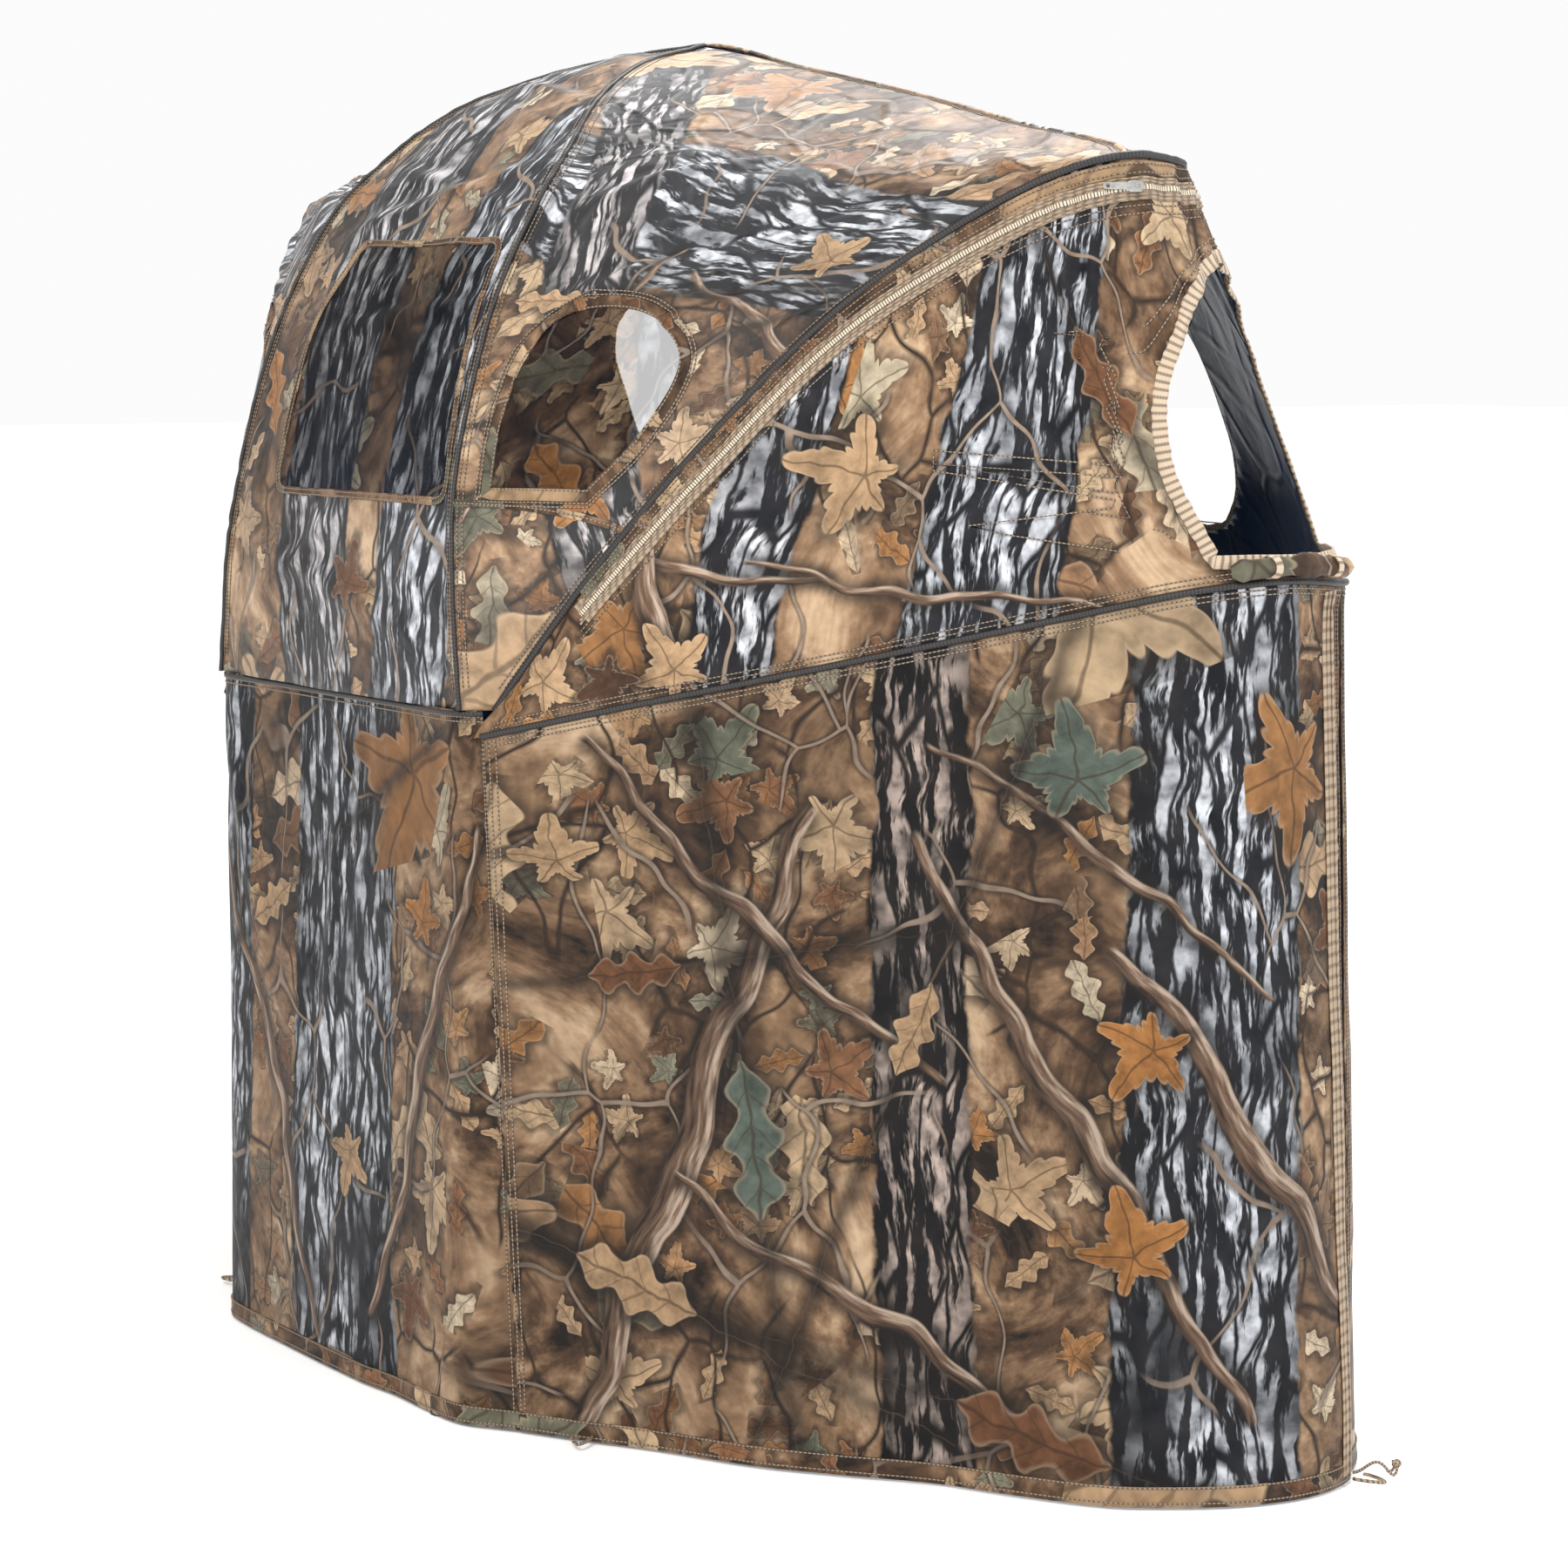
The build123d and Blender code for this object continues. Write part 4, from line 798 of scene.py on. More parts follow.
def tape(name, low, high, lines, rough=0.55):
    """Narrow tape or thread with marks across its length; lines is marks to the metre."""
    material = bpy.data.materials.new(name)
    g, shader, _ = surface(material)
    place = g.add("ShaderNodeUVMap", uv_map="cloth").outputs[0]
    x, y, _ = g.parts(place)
    marks = g.math("ABSOLUTE", g.minus(g.math("FRACT", g.times(x, lines)), 0.5))
    ribs = g.math("SINE", g.times(y, 2400.0))
    tone = g.plus(g.step(marks, 0.10, 0.30), g.times(ribs, 0.12))
    tone = g.plus(g.times(tone, 0.8), g.times(g.noise(place, 60.0, 2.0), 0.3))
    bump = g.add("ShaderNodeBump", {"Height": tone, "Strength": 0.5, "Distance": 0.0006}).outputs[0]
    for key, value in (("Base Color", g.ramp(tone, (0.15, low), (0.9, high))), ("Roughness", rough),
                       ("Normal", bump)):
        g.put(shader.inputs[key], value)
    return material


def solid(name, low, high, rough, metal=0.0, grain=60.0, depth=0.0002, coat=0.0):
    """Hard material in object space: two tones, worn roughness and a fine bump."""
    material = bpy.data.materials.new(name)
    g, shader, _ = surface(material)
    place = g.add("ShaderNodeTexCoord").outputs["Object"]
    blotch = g.noise(place, grain, 4.0, 0.6)
    wear = g.noise(place, grain * 0.2, 3.0)
    bump = g.add("ShaderNodeBump", {"Height": blotch, "Strength": 0.4, "Distance": depth}).outputs[0]
    for key, value in (("Base Color", g.ramp(g.plus(g.times(blotch, 0.5), g.times(wear, 0.5)), (0.35, low),
                                             (0.65, high))),
                       ("Roughness", g.plus(rough - 0.08, g.times(wear, 0.16))), ("Metallic", metal),
                       ("Normal", bump), ("Coat Weight", coat)):
        g.put(shader.inputs[key], value)
    return material


# ------------------------------------------------------------------ materials
# the per-panel brightness factors below are painted light above 1 (roof) and painted shade below 1 (rear
# wall, window band, trim, skirts)
M = {
    "rear_wall": camo("camo rear wall", creases=1.9, offset=(0.4, 0.1), painted_light_level=0.85, gloss=0.40,
                      trunks=[(-0.035, 0.2, 4, 0.085, 0.3), (0.185, 0.2, -3, 0.075, 0.0)],
                      leaves=[(-0.20, 0.33, 30, 0.06, OAK, ORANGE), (0.05, 0.12, -20, 0.055, MAPLE, BROWN)]),
    "wing": camo("camo wings", creases=2.0, offset=(1.3, 0.6), painted_light_level=1.0, gloss=0.45,
                 trunks=[(0.31, 0.60, 61, 0.105, 0.0), (0.20, 0.02, 8, 0.055, 0.4)],
                 limbs=[(0.45, 0.30, 40, 0.010, 0.32), (0.12, 0.42, -30, 0.008, 0.22)],
                 leaves=[(0.16, 0.25, 140, 0.055, MAPLE, ORANGE), (0.42, 0.52, 20, 0.06, MAPLE, TAN),
                         (0.55, 0.47, 100, 0.05, OAK, GREEN), (0.08, 0.56, 75, 0.05, OAK, TAN)]),
    "roof": camo("camo roof", creases=2.1, offset=(2.1, 1.4), painted_light_level=1.15, gloss=0.5,
                 trunks=[(1.25, 0.15, 78, 0.07, 0.5)],
                 leaves=[(0.35, 0.16, 60, 0.07, MAPLE, TAN), (0.75, 0.12, 10, 0.06, MAPLE, TAN),
                         (1.55, 0.18, 200, 0.06, OAK, ORANGE)]),
    "band": Tiles("camo window band", (1.0, 5.0), creases=1.1, offset=(0.2, 2.2), painted_light_level=0.95,
                 trunks=[(0.585, 1.00, -13, 0.080, 0.0), (0.315, 0.95, -12, 0.045, 0.1),
                         (1.9, 1.0, 6, 0.09, 0.0),
                         (2.75, 1.0, -5, 0.10, 0.2)],
                 limbs=[(0.24, 0.905, 86, 0.006, 0.16), (0.215, 0.86, 20, 0.016, 0.16),
                        (0.50, 0.885, 80, 0.005, 0.20)],
                 leaves=[(0.235, 0.80, 35, 0.062, MAPLE, TAN), (0.42, 1.00, 75, 0.085, MAPLE, TAN),
                         (0.155, 0.79, 200, 0.05, MAPLE, DEEP_BROWN), (0.70, 1.10, 30, 0.06, OAK, BROWN),
                         (2.2, 0.96, 60, 0.07, MAPLE, ORANGE)]),
    "trim": camo("camo trim", creases=0.5, offset=(5.2, 0.7), painted_light_level=0.9),
    "side": Tiles("camo side skirts", (0.48, 0.42), creases=0.9, offset=(0.7, 0.9), painted_light_level=0.74,
                 trunks=[(0.44, 0.4, 2, 0.050, 0.75), (0.735, 0.4, 1, 0.098, 0.0)],
                 limbs=[(0.17, 0.28, -20, 0.020, 0.42), (0.60, 0.36, 33, 0.013, 0.34),
                        (0.26, 0.56, 48, 0.009, 0.26),
                        (0.40, 0.16, 60, 0.010, 0.26), (0.78, 0.34, 38, 0.016, 0.26),
                        (0.62, 0.62, 55, 0.006, 0.22)],
                 leaves=[(0.585, 0.705, 10, 0.085, MAPLE, GREY_GREEN),
                         (0.665, 0.45, 145, 0.068, MAPLE, ORANGE),
                         (0.66, 0.245, 20, 0.075, MAPLE, ORANGE), (0.265, 0.33, 190, 0.082, OAK, GREY_GREEN),
                         (0.565, 0.06, 75, 0.085, OAK, BROWN), (0.135, 0.17, 70, 0.075, OAK, TAN),
                         (0.13, 0.49, 100, 0.055, OAK, BROWN), (0.05, 0.60, 10, 0.050, MAPLE, TAN),
                         (0.43, 0.45, 160, 0.050, OAK, TAN), (0.90, 0.55, 30, 0.055, MAPLE, BROWN)]),
    "front": Tiles("camo front skirt", (0.95, 0.42), creases=0.9, offset=(3.3, 0.3), painted_light_level=0.74,
                  trunks=[(0.28, 0.4, 3, 0.095, 0.0), (0.92, 0.4, -2, 0.06, 0.7), (1.45, 0.4, 2, 0.11, 0.0)],
                  limbs=[(0.60, 0.40, 35, 0.014, 0.40), (1.15, 0.55, -40, 0.012, 0.34),
                         (0.75, 0.2, 60, 0.009, 0.3),
                         (1.70, 0.4, 30, 0.012, 0.35)],
                  leaves=[(0.55, 0.65, 20, 0.085, MAPLE, ORANGE), (0.80, 0.35, 200, 0.08, MAPLE, TAN),
                          (1.15, 0.30, 60, 0.085, OAK, GREY_GREEN), (0.45, 0.18, 100, 0.075, OAK, BROWN),
                          (1.68, 0.62, 150, 0.08, MAPLE, TAN), (1.30, 0.74, 30, 0.06, MAPLE, GREY_GREEN)]),
    "rear_skirt": camo("camo rear skirt", creases=0.9, offset=(4.2, 1.1), painted_light_level=0.70,
                       trunks=[(0.30, 0.4, 1, 0.115, 0.0), (0.63, 0.4, 2, 0.105, 0.0)],
                       limbs=[(0.12, 0.35, 22, 0.012, 0.3), (0.47, 0.3, -25, 0.010, 0.3)],
                       leaves=[(0.12, 0.52, 10, 0.05, MAPLE, ORANGE), (0.15, 0.12, 190, 0.055, MAPLE, BROWN),
                               (0.28, 0.25, 200, 0.055, MAPLE, TAN), (0.47, 0.50, 60, 0.05, OAK, TAN)]),
    "rear_mesh": camo("camo rear mesh", creases=0.6, offset=(0.4, 0.1), sheer=0.42, dim=0.55,
                      trunks=[(-0.035, 0.2, 4, 0.085, 0.2), (0.185, 0.2, -3, 0.075, 0.0)]),
    "wing_mesh": camo("camo wing mesh", creases=0.4, offset=(1.9, 0.2), sheer=0.55, dim=0.75,
                      trunks=[(0.27, 0.3, 4, 0.055, 0.0)], leaves=[(0.13, 0.27, 30, 0.07, OAK, ORANGE)]),
    "inner": cloth("inner coating", (0.0030, 0.014, 0.046), (0.009, 0.042, 0.115), rough=0.30, sheen=0.05,
                   creases=1.6, scale=5.0),
    "piping": tape("dark piping", (0.004, 0.004, 0.005), (0.022, 0.019, 0.018), 260.0),
    "thread": tape("stitch thread", (0.035, 0.025, 0.017), (0.24, 0.18, 0.125), 210.0),
    "zip_tape": tape("zip tape", (0.16, 0.115, 0.075), (0.30, 0.225, 0.155), 90.0),
    "zip_teeth": tape("zip coil", (0.05, 0.038, 0.026), (0.60, 0.50, 0.38), 330.0, rough=0.35),
    "binding": tape("tan binding", (0.17, 0.125, 0.085), (0.45, 0.35, 0.25), 130.0),
    "sling": cloth("chair sling", (0.010, 0.013, 0.011), (0.030, 0.036, 0.030), rough=0.75, sheen=0.25,
                   creases=0.3, weave=1500.0),
    "pad": cloth("armrest pad cloth", (0.012, 0.013, 0.012), (0.034, 0.036, 0.033), rough=0.8, sheen=0.3,
                 creases=0.25, weave=1800.0),
    "steel": solid("painted steel", (0.014, 0.015, 0.016), (0.035, 0.036, 0.038), 0.42, grain=160.0,
                   coat=0.2),
    "bolt": solid("zinc plated bolts", (0.36, 0.36, 0.36), (0.60, 0.60, 0.61), 0.34, metal=1.0, grain=240.0),
    "rod": solid("glass-fibre rod", (0.016, 0.017, 0.020), (0.048, 0.050, 0.056), 0.30, grain=90.0, coat=0.4),
    "moulded": solid("moulded nylon", (0.010, 0.010, 0.011), (0.026, 0.026, 0.028), 0.55, grain=420.0),
    "slider": solid("zip slider metal", (0.42, 0.41, 0.39), (0.74, 0.73, 0.70), 0.22, metal=1.0, grain=300.0),
    "cord": tape("hem cord", (0.05, 0.038, 0.028), (0.30, 0.22, 0.15), 320.0),
}

# ------------------------------------------------------------------ canopy sheets
FULL_MID, FULL_FRONT, FULL_HEM = both_sides(MID_LINE), both_sides(FRONT_LINE), both_sides(HEM_LINE)
FULL_RIDGE = both_sides(RIDGE_LINE)


def mirrored(points):
    """The left-hand twin of right-hand places."""
    return points * np.array([-1.0, 1.0, 1.0])


def wing_lines(count):
    u = np.linspace(0, 9, count)
    low = spline(REAR_LINE, u)
    ridge_t = np.interp(u, WING_STOPS, range(6))
    outer = np.where((u <= 5)[:, None], spline(MID_LINE, np.minimum(u, 5)), spline(RIDGE_LINE, ridge_t))
    weight = np.where(u <= 5, 1.0, 1.0 - ridge_t / 5)
    return world(low), world(outer), weight


ARCH = [(-0.292, 0.978), (-0.300, 1.120), (-0.352, 1.172), (-0.440, 1.168), (-0.482, 1.120),
        (-0.450, 1.040), (-0.398, 0.978)]
SIDEWAYS, UP = np.array([1.0, 0, 0]), np.array([0, 0, 1.0])


def smooth_outline(points, base=14, rim=90):
    """A closed outline: a smooth rim through the points and a straight base."""
    arc = spline(points, np.linspace(0, len(points) - 1, rim))
    foot = np.linspace(arc[-1], arc[0], base + 2)[1:-1]
    return np.concatenate([arc, foot])


def rounded_box(x, low, high, radius, steps=9):
    """Closed outline of a box with round corners, from its half width and two heights."""
    out = []
    for cx, cz, start in ((x - radius, low + radius, -90), (x - radius, high - radius, 0),
                          (-x + radius, high - radius, 90), (-x + radius, low + radius, 180)):
        for a in np.radians(np.linspace(start, start + 90, steps)):
            out.append((cx + radius * math.cos(a), cz + radius * math.sin(a)))
    dense = []
    for p, q in zip(out, out[1:] + out[:1]):
        parts = max(1, int(np.hypot(q[0] - p[0], q[1] - p[1]) / 0.01))
        dense += [(p[0] + (q[0] - p[0]) * k / parts, p[1] + (q[1] - p[1]) * k / parts) for k in range(parts)]
    return np.array(dense)


REAR_WINDOW = [(-0.236, 0.968), (-0.212, 1.245), (0.100, 1.245), (0.138, 1.150), (0.145, 0.968)]


def round_corners(points, radius, steps=7):
    """A closed outline with its corners rounded off, at about centimetre steps."""
    points = np.array(points)
    soft_line = []
    for before, corner, after in zip(np.roll(points, 1, 0), points, np.roll(points, -1, 0)):
        start = corner + (before - corner) / np.linalg.norm(before - corner) * radius
        end = corner + (after - corner) / np.linalg.norm(after - corner) * radius
        for t in np.linspace(0, 1, steps):
            soft_line.append(start * (1 - t) ** 2 + corner * 2 * t * (1 - t) + end * t * t)
    dense = []
    for p, q in zip(soft_line, soft_line[1:] + soft_line[:1]):
        parts = max(1, int(np.linalg.norm(q - p) / 0.01))
        dense += [p + (q - p) * k / parts for k in range(parts)]
    return np.array(dense)


def rim_strip(patch, sheet, outline, axes, region, width, thick, lift, ruffle=0.0, seed=1, closed=True):
    """Sews a binding along a window outline onto a patchwork."""
    i, j = sheet.find(outline, axes, region)
    path = sheet.place(i, j)
    out = sheet.place(i, j, sheet.normals())
    weight = sheet.place(i, j, sheet.W)
    step = np.linalg.norm(np.diff(path, axis=0, append=path[:1]), axis=1)
    along = np.cumsum(step)
    shape = np.array(strip_shape(width, thick, lift))[None] * np.ones((len(path), 1, 1))
    if ruffle:
        wave = np.sin(along * 900) * ruffle * (0.7 + 0.3 * noise2(along * 30, along * 0, seed))
        shape[:, 3:5, 1] += wave[:, None]
        shape[:, :, 0] *= (1 + 0.10 * np.sin(along * 450 + 1))[:, None]
    patch.profile(path, out, weight, shape, closed=closed)


def seam_strip(patch, sheet, column, offset, width, thick, lift, from_first=True, shape=None):
    """Lays a strip along a sheet at a distance from its first or last seam."""
    column = np.asarray(column, float)
    nu, nv = sheet.v.shape
    wide = np.interp(column, np.arange(nu), sheet.width[:, 0])
    share = np.clip(np.broadcast_to(offset, column.shape) / np.maximum(wide, 1e-3), 0, 1)
    j = (share if from_first else 1 - share) * (nv - 1)
    path = sheet.place(column, j)
    out = sheet.place(column, j, sheet.normals())
    weight = sheet.place(column, j, sheet.W)
    patch.profile(path, out, weight, strip_shape(width, thick, lift) if shape is None else shape)


def build_rear_wall():
    u = np.linspace(0, 9, 130)
    right, left = world(spline(REAR_LINE, u)), mirrored(world(spline(REAR_LINE, u)))
    left[:, 0] = np.abs(left[:, 0])
    sheet = Sheet(right, left, 0.0, 0.0, rows=78, swell=0.006)
    turn_in = soft(sheet.P[..., 2], 0.745, 0.80)
    sheet.W = turn_in
    a, b = sheet.P[..., 0], sheet.a
    ripple = 0.0052 * noise2(sheet.b * 9, sheet.a * 5, 11) + 0.0030 * noise2(sheet.b * 24, sheet.a * 13, 12)
    ripple = folded(
        ripple, a, b,
        ((-0.21, 0.62), (0.20, 0.50), 0.017, 0.007), ((-0.20, 0.55), (0.16, 0.62), 0.012, 0.005),
        ((-0.15, 0.72), (0.12, 0.80), 0.014, 0.006), ((-0.24, 0.44), (0.10, 0.40), 0.010, 0.004),
        ((-0.25, 0.06), (0.20, 0.16), 0.016, 0.004), ((0.24, 0.05), (-0.05, 0.22), 0.014, 0.004))
    ripple = ripple + pucker(sheet.a, sheet.edge, 260.0, 0.0016, 0.030, 13)
    sheet.push(ripple)
    sheet.UV = np.stack([-a, sheet.a], -1)
    axes = (SIDEWAYS, UP)
    window = round_corners(REAR_WINDOW, 0.024)
    everywhere = np.ones(sheet.v.shape, bool)
    P, keep = cut(sheet, window, axes, everywhere)
    wall = Patchwork()
    wall.grid(P, sheet.UV, sheet.W, keep, flip=sheet_flip(sheet))
    piece = wall.build("rear_wall_cloth", M["rear_wall"], M["inner"], thick=CLOTH)
    finish_cloth(piece, "chair_back", "rear_bow", "rear_wall")
    P, keep = cut(sheet, window, axes, everywhere, keep_inside=True)
    net = Patchwork()
    net.grid(P, sheet.UV, sheet.W, keep, flip=sheet_flip(sheet))
    piece = net.build("rear_window_net", M["rear_mesh"])
    finish_cloth(piece, "chair_back", "rear_bow", "rear_window_mesh", slot="mesh_fabric")
    trim = Patchwork()
    rim_strip(trim, sheet, window, axes, everywhere, 0.009, 0.0010, 0.0004)
    piece = trim.build("rear_window_hem", M["trim"])
    finish_cloth(piece, "chair_back", "rear_bow")
    thread = Patchwork()
    middle = window.mean(axis=0)
    for grow in (0.985, 1.02):
        rim_strip(thread, sheet, middle + (window - middle) * grow, axes, everywhere, 0.0012, 0.0006, 0.0012)
    columns = np.linspace(2, 128, 150)
    for offset in (0.006, 0.012):
        seam_strip(thread, sheet, columns, offset, *STITCH)
        seam_strip(thread, sheet, columns, offset, *STITCH, from_first=False)
    piece = thread.build("rear_wall_stitching", M["thread"])
    finish_cloth(piece, "chair_back", "rear_bow")


def sheet_flip(sheet):
    """Whether a sheet's faces have to be turned so that they face outwards."""
    sheet.normals()
    return bool(sheet.flip)


def finish_cloth(piece, first, second, *nodes, slot="camo_fabric"):
    """Bakes a cloth piece's placement into its mesh and hides the CAD parts that it replaces."""
    bend(piece)
    if nodes:
        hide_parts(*nodes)


def build_wing(side, name, seed):
    low, outer, weight = wing_lines(170)
    sheet = Sheet(low, outer, 0.0, weight, rows=100, swell=0.008)
    a, b = sheet.b, sheet.a
    ripple = 0.0055 * noise2(a * 7 + seed, b * 5, seed) + 0.0030 * noise2(a * 19, b * 12, seed + 1)
    ripple = folded(
        ripple, a, b,
        ((0.08, 0.44), (0.60, 0.52), 0.014, 0.007), ((0.05, 0.56), (0.50, 0.60), 0.016, 0.006),
        ((0.02, 0.66), (0.40, 0.78), 0.014, 0.006), ((0.30, 0.40), (0.62, 0.50), 0.010, 0.005),
        ((0.02, 0.80), (0.22, 0.96), 0.012, 0.004), ((0.10, 0.08), (0.30, 0.30), 0.012, 0.003),
        ((0.04, 0.47), (0.22, 0.62), 0.009, 0.004))
    from_corner = np.hypot(a - 0.66, b - 0.55)
    rays = np.sin(np.arctan2(b - 0.55, a - 0.66) * 26 + seed)
    ripple = ripple + 0.0028 * rays * np.exp(-from_corner / 0.16)
    ripple = ripple + pucker(sheet.a, sheet.edge, 240.0, 0.0018, 0.035, seed + 3)
    sheet.push(ripple)
    sheet.UV = np.stack([sheet.b, sheet.a], -1)
    axes = (SIDEWAYS, UP)
    arch = smooth_outline(ARCH)
    region = np.ones(sheet.v.shape, bool)
    parts = {}
    for inside in (False, True):
        P, keep = cut(sheet, arch, axes, region, keep_inside=inside)
        patch = Patchwork()
        if side < 0:
            patch.grid(P, sheet.UV, sheet.W, keep, flip=sheet_flip(sheet))
        else:
            patch.grid(mirrored(P), sheet.UV, sheet.W, keep, flip=not sheet_flip(sheet))
        parts[inside] = patch
    shell = parts[False].build(name + "_wing_cloth", M["wing"], M["inner"], thick=CLOTH)
    finish_cloth(shell, "rear_bow", "middle_bow", name + "_wing")
    net = parts[True].build(name + "_wing_net", M["wing_mesh"])
    finish_cloth(net, "rear_bow", "middle_bow", name + "_wing_mesh", slot="mesh_fabric")
    hem, thread = Patchwork(), Patchwork()
    rim_strip(hem, sheet, arch, axes, region, 0.013, 0.0012, 0.0004)
    mid = arch.mean(axis=0)
    for grow in (0.955, 1.075, 1.115):
        rim_strip(thread, sheet, mid + (arch - mid) * grow, axes, region, 0.0013, 0.0007, 0.0012)
    columns = np.linspace(3, 165, 200)
    for offset in (0.006, 0.012):
        seam_strip(thread, sheet, columns, offset, *STITCH)
        seam_strip(thread, sheet, columns, offset, *STITCH, from_first=False)
    sill_from, sill_to = [sheet.find(np.array([end]), axes, region)
                          for end in ((-0.262, 0.968), (-0.452, 0.936))]
    line_i = np.linspace(sill_from[0][0], sill_to[0][0], 50)
    line_j = np.linspace(0.5, sill_to[1][0], 50)
    path, out = sheet.place(line_i, line_j), sheet.place(line_i, line_j, sheet.normals())
    weight_line = sheet.place(line_i, line_j, sheet.W)
    hem.profile(path, out, weight_line, strip_shape(0.008, 0.0012, 0.0002))
    thread.profile(path, out, weight_line, strip_shape(0.0013, 0.0006, 0.0016))
    if side > 0:
        for patch in (hem, thread):
            patch.verts = [mirrored(v) for v in patch.verts]
            patch.faces = [face[::-1] for face in patch.faces]
    for patch, title, material in ((hem, "_wing_hems", "trim"), (thread, "_wing_stitching", "thread")):
        finish_cloth(patch.build(name + title, M[material]), "rear_bow", "middle_bow")


def build_roof():
    t = np.linspace(0, 1, 240)
    back = world(spline(FULL_RIDGE, t * 10))
    front = world(spline(FULL_MID, 5 + t * 12))
    ridge_weight = np.interp(t * 10, [0, 5, 10], [1, 0, 1])
    sheet = Sheet(back, front, ridge_weight, 1.0, rows=52, swell=0.010)
    a, b = sheet.a, sheet.b
    ripple = 0.0060 * noise2(a * 5, b * 8, 41) + 0.0032 * noise2(a * 14, b * 17, 42)
    ripple = folded(
        ripple, a, b,
        ((0.05, 0.02), (0.70, 0.20), 0.014, 0.006), ((1.75, 0.02), (1.10, 0.20), 0.014, 0.006),
        ((0.85, 0.02), (0.60, 0.28), 0.014, 0.005), ((0.95, 0.02), (1.25, 0.28), 0.014, 0.005),
        ((0.40, 0.05), (0.30, 0.25), 0.012, 0.004), ((1.40, 0.05), (1.52, 0.25), 0.012, 0.004))
    ripple = ripple + pucker(a, sheet.edge, 240.0, 0.0018, 0.035, 44)
    sheet.push(ripple)
    sheet.UV = np.stack([a, b], -1)
    patch = Patchwork()
    patch.grid(sheet.P, sheet.UV, sheet.W, flip=sheet_flip(sheet))
    piece = patch.build("front_roof_cloth", M["roof"], M["inner"], thick=CLOTH)
    finish_cloth(piece, "rear_bow", "middle_bow", "front_roof")
    thread = Patchwork()
    columns = np.linspace(4, 235, 260)
    for offset in (0.006, 0.012):
        seam_strip(thread, sheet, columns, offset, *STITCH)
        seam_strip(thread, sheet, columns, offset, *STITCH, from_first=False)
    finish_cloth(thread.build("front_roof_stitching", M["thread"]), "rear_bow", "middle_bow")


CORNER_AXES = (np.array([0.57, -0.82, 0.0]), UP)
CORNER_AT = np.array([-0.84, -0.56, 0.0])
CORNER_WAY = np.array([-0.82, -0.57, 0.0])
CORNER_ARCH = [(-0.124, 0.922), (-0.140, 1.020), (-0.136, 1.120), (-0.098, 1.196), (-0.040, 1.222),
               (0.030, 1.196),
               (0.100, 1.100), (0.145, 0.922)]


def band_sheet():
    u = np.concatenate([np.linspace(0, 4, 90, endpoint=False), np.linspace(4, 8, 110, endpoint=False),
                        np.linspace(8, 14, 110, endpoint=False), np.linspace(14, 18, 110, endpoint=False),
                        np.linspace(18, 22, 90)])
    top, low = world(spline(FULL_MID, u)), world(spline(FULL_FRONT, u))
    sheet = Sheet(top, low, 0.0, 1.0, rows=64, swell=0.007)
    sheet.u = np.broadcast_to(u[:, None], sheet.v.shape)
    plan = np.linalg.norm(np.diff(low[:, :2], axis=0), axis=1)
    sheet.run = np.broadcast_to(np.concatenate([[0], np.cumsum(plan)])[:, None], sheet.v.shape)
    z = sheet.P[..., 2]
    ripple = 0.0030 * noise2(sheet.run * 7, z * 6, 51) + 0.0016 * noise2(sheet.run * 20, z * 15, 52)
    for corner in (-0.84, 0.84):
        off = np.hypot(np.hypot(sheet.P[..., 0] - corner, sheet.P[..., 1] + 0.50), z - 1.22)
        ripple = ripple + 0.0042 * np.sin(sheet.run * 150 + 3 * z + corner) * np.exp(-(off / 0.13) ** 2)
    ripple = folded(
        ripple, sheet.run, z,
        ((0.30, 0.98), (0.62, 1.20), 0.012, 0.003), ((0.50, 0.90), (0.74, 1.16), 0.012, 0.004),
        ((0.66, 0.92), (0.70, 1.26), 0.010, 0.005), ((0.62, 1.24), (0.76, 1.08), 0.009, 0.004),
        ((0.12, 0.80), (0.40, 0.90), 0.012, 0.003))
    ripple = ripple + pucker(sheet.run, sheet.edge, 230.0, 0.0014, 0.03, 53)
    sheet.push(ripple)
    sheet.UV = np.stack([sheet.run, sheet.P[..., 2]], -1)
    return sheet


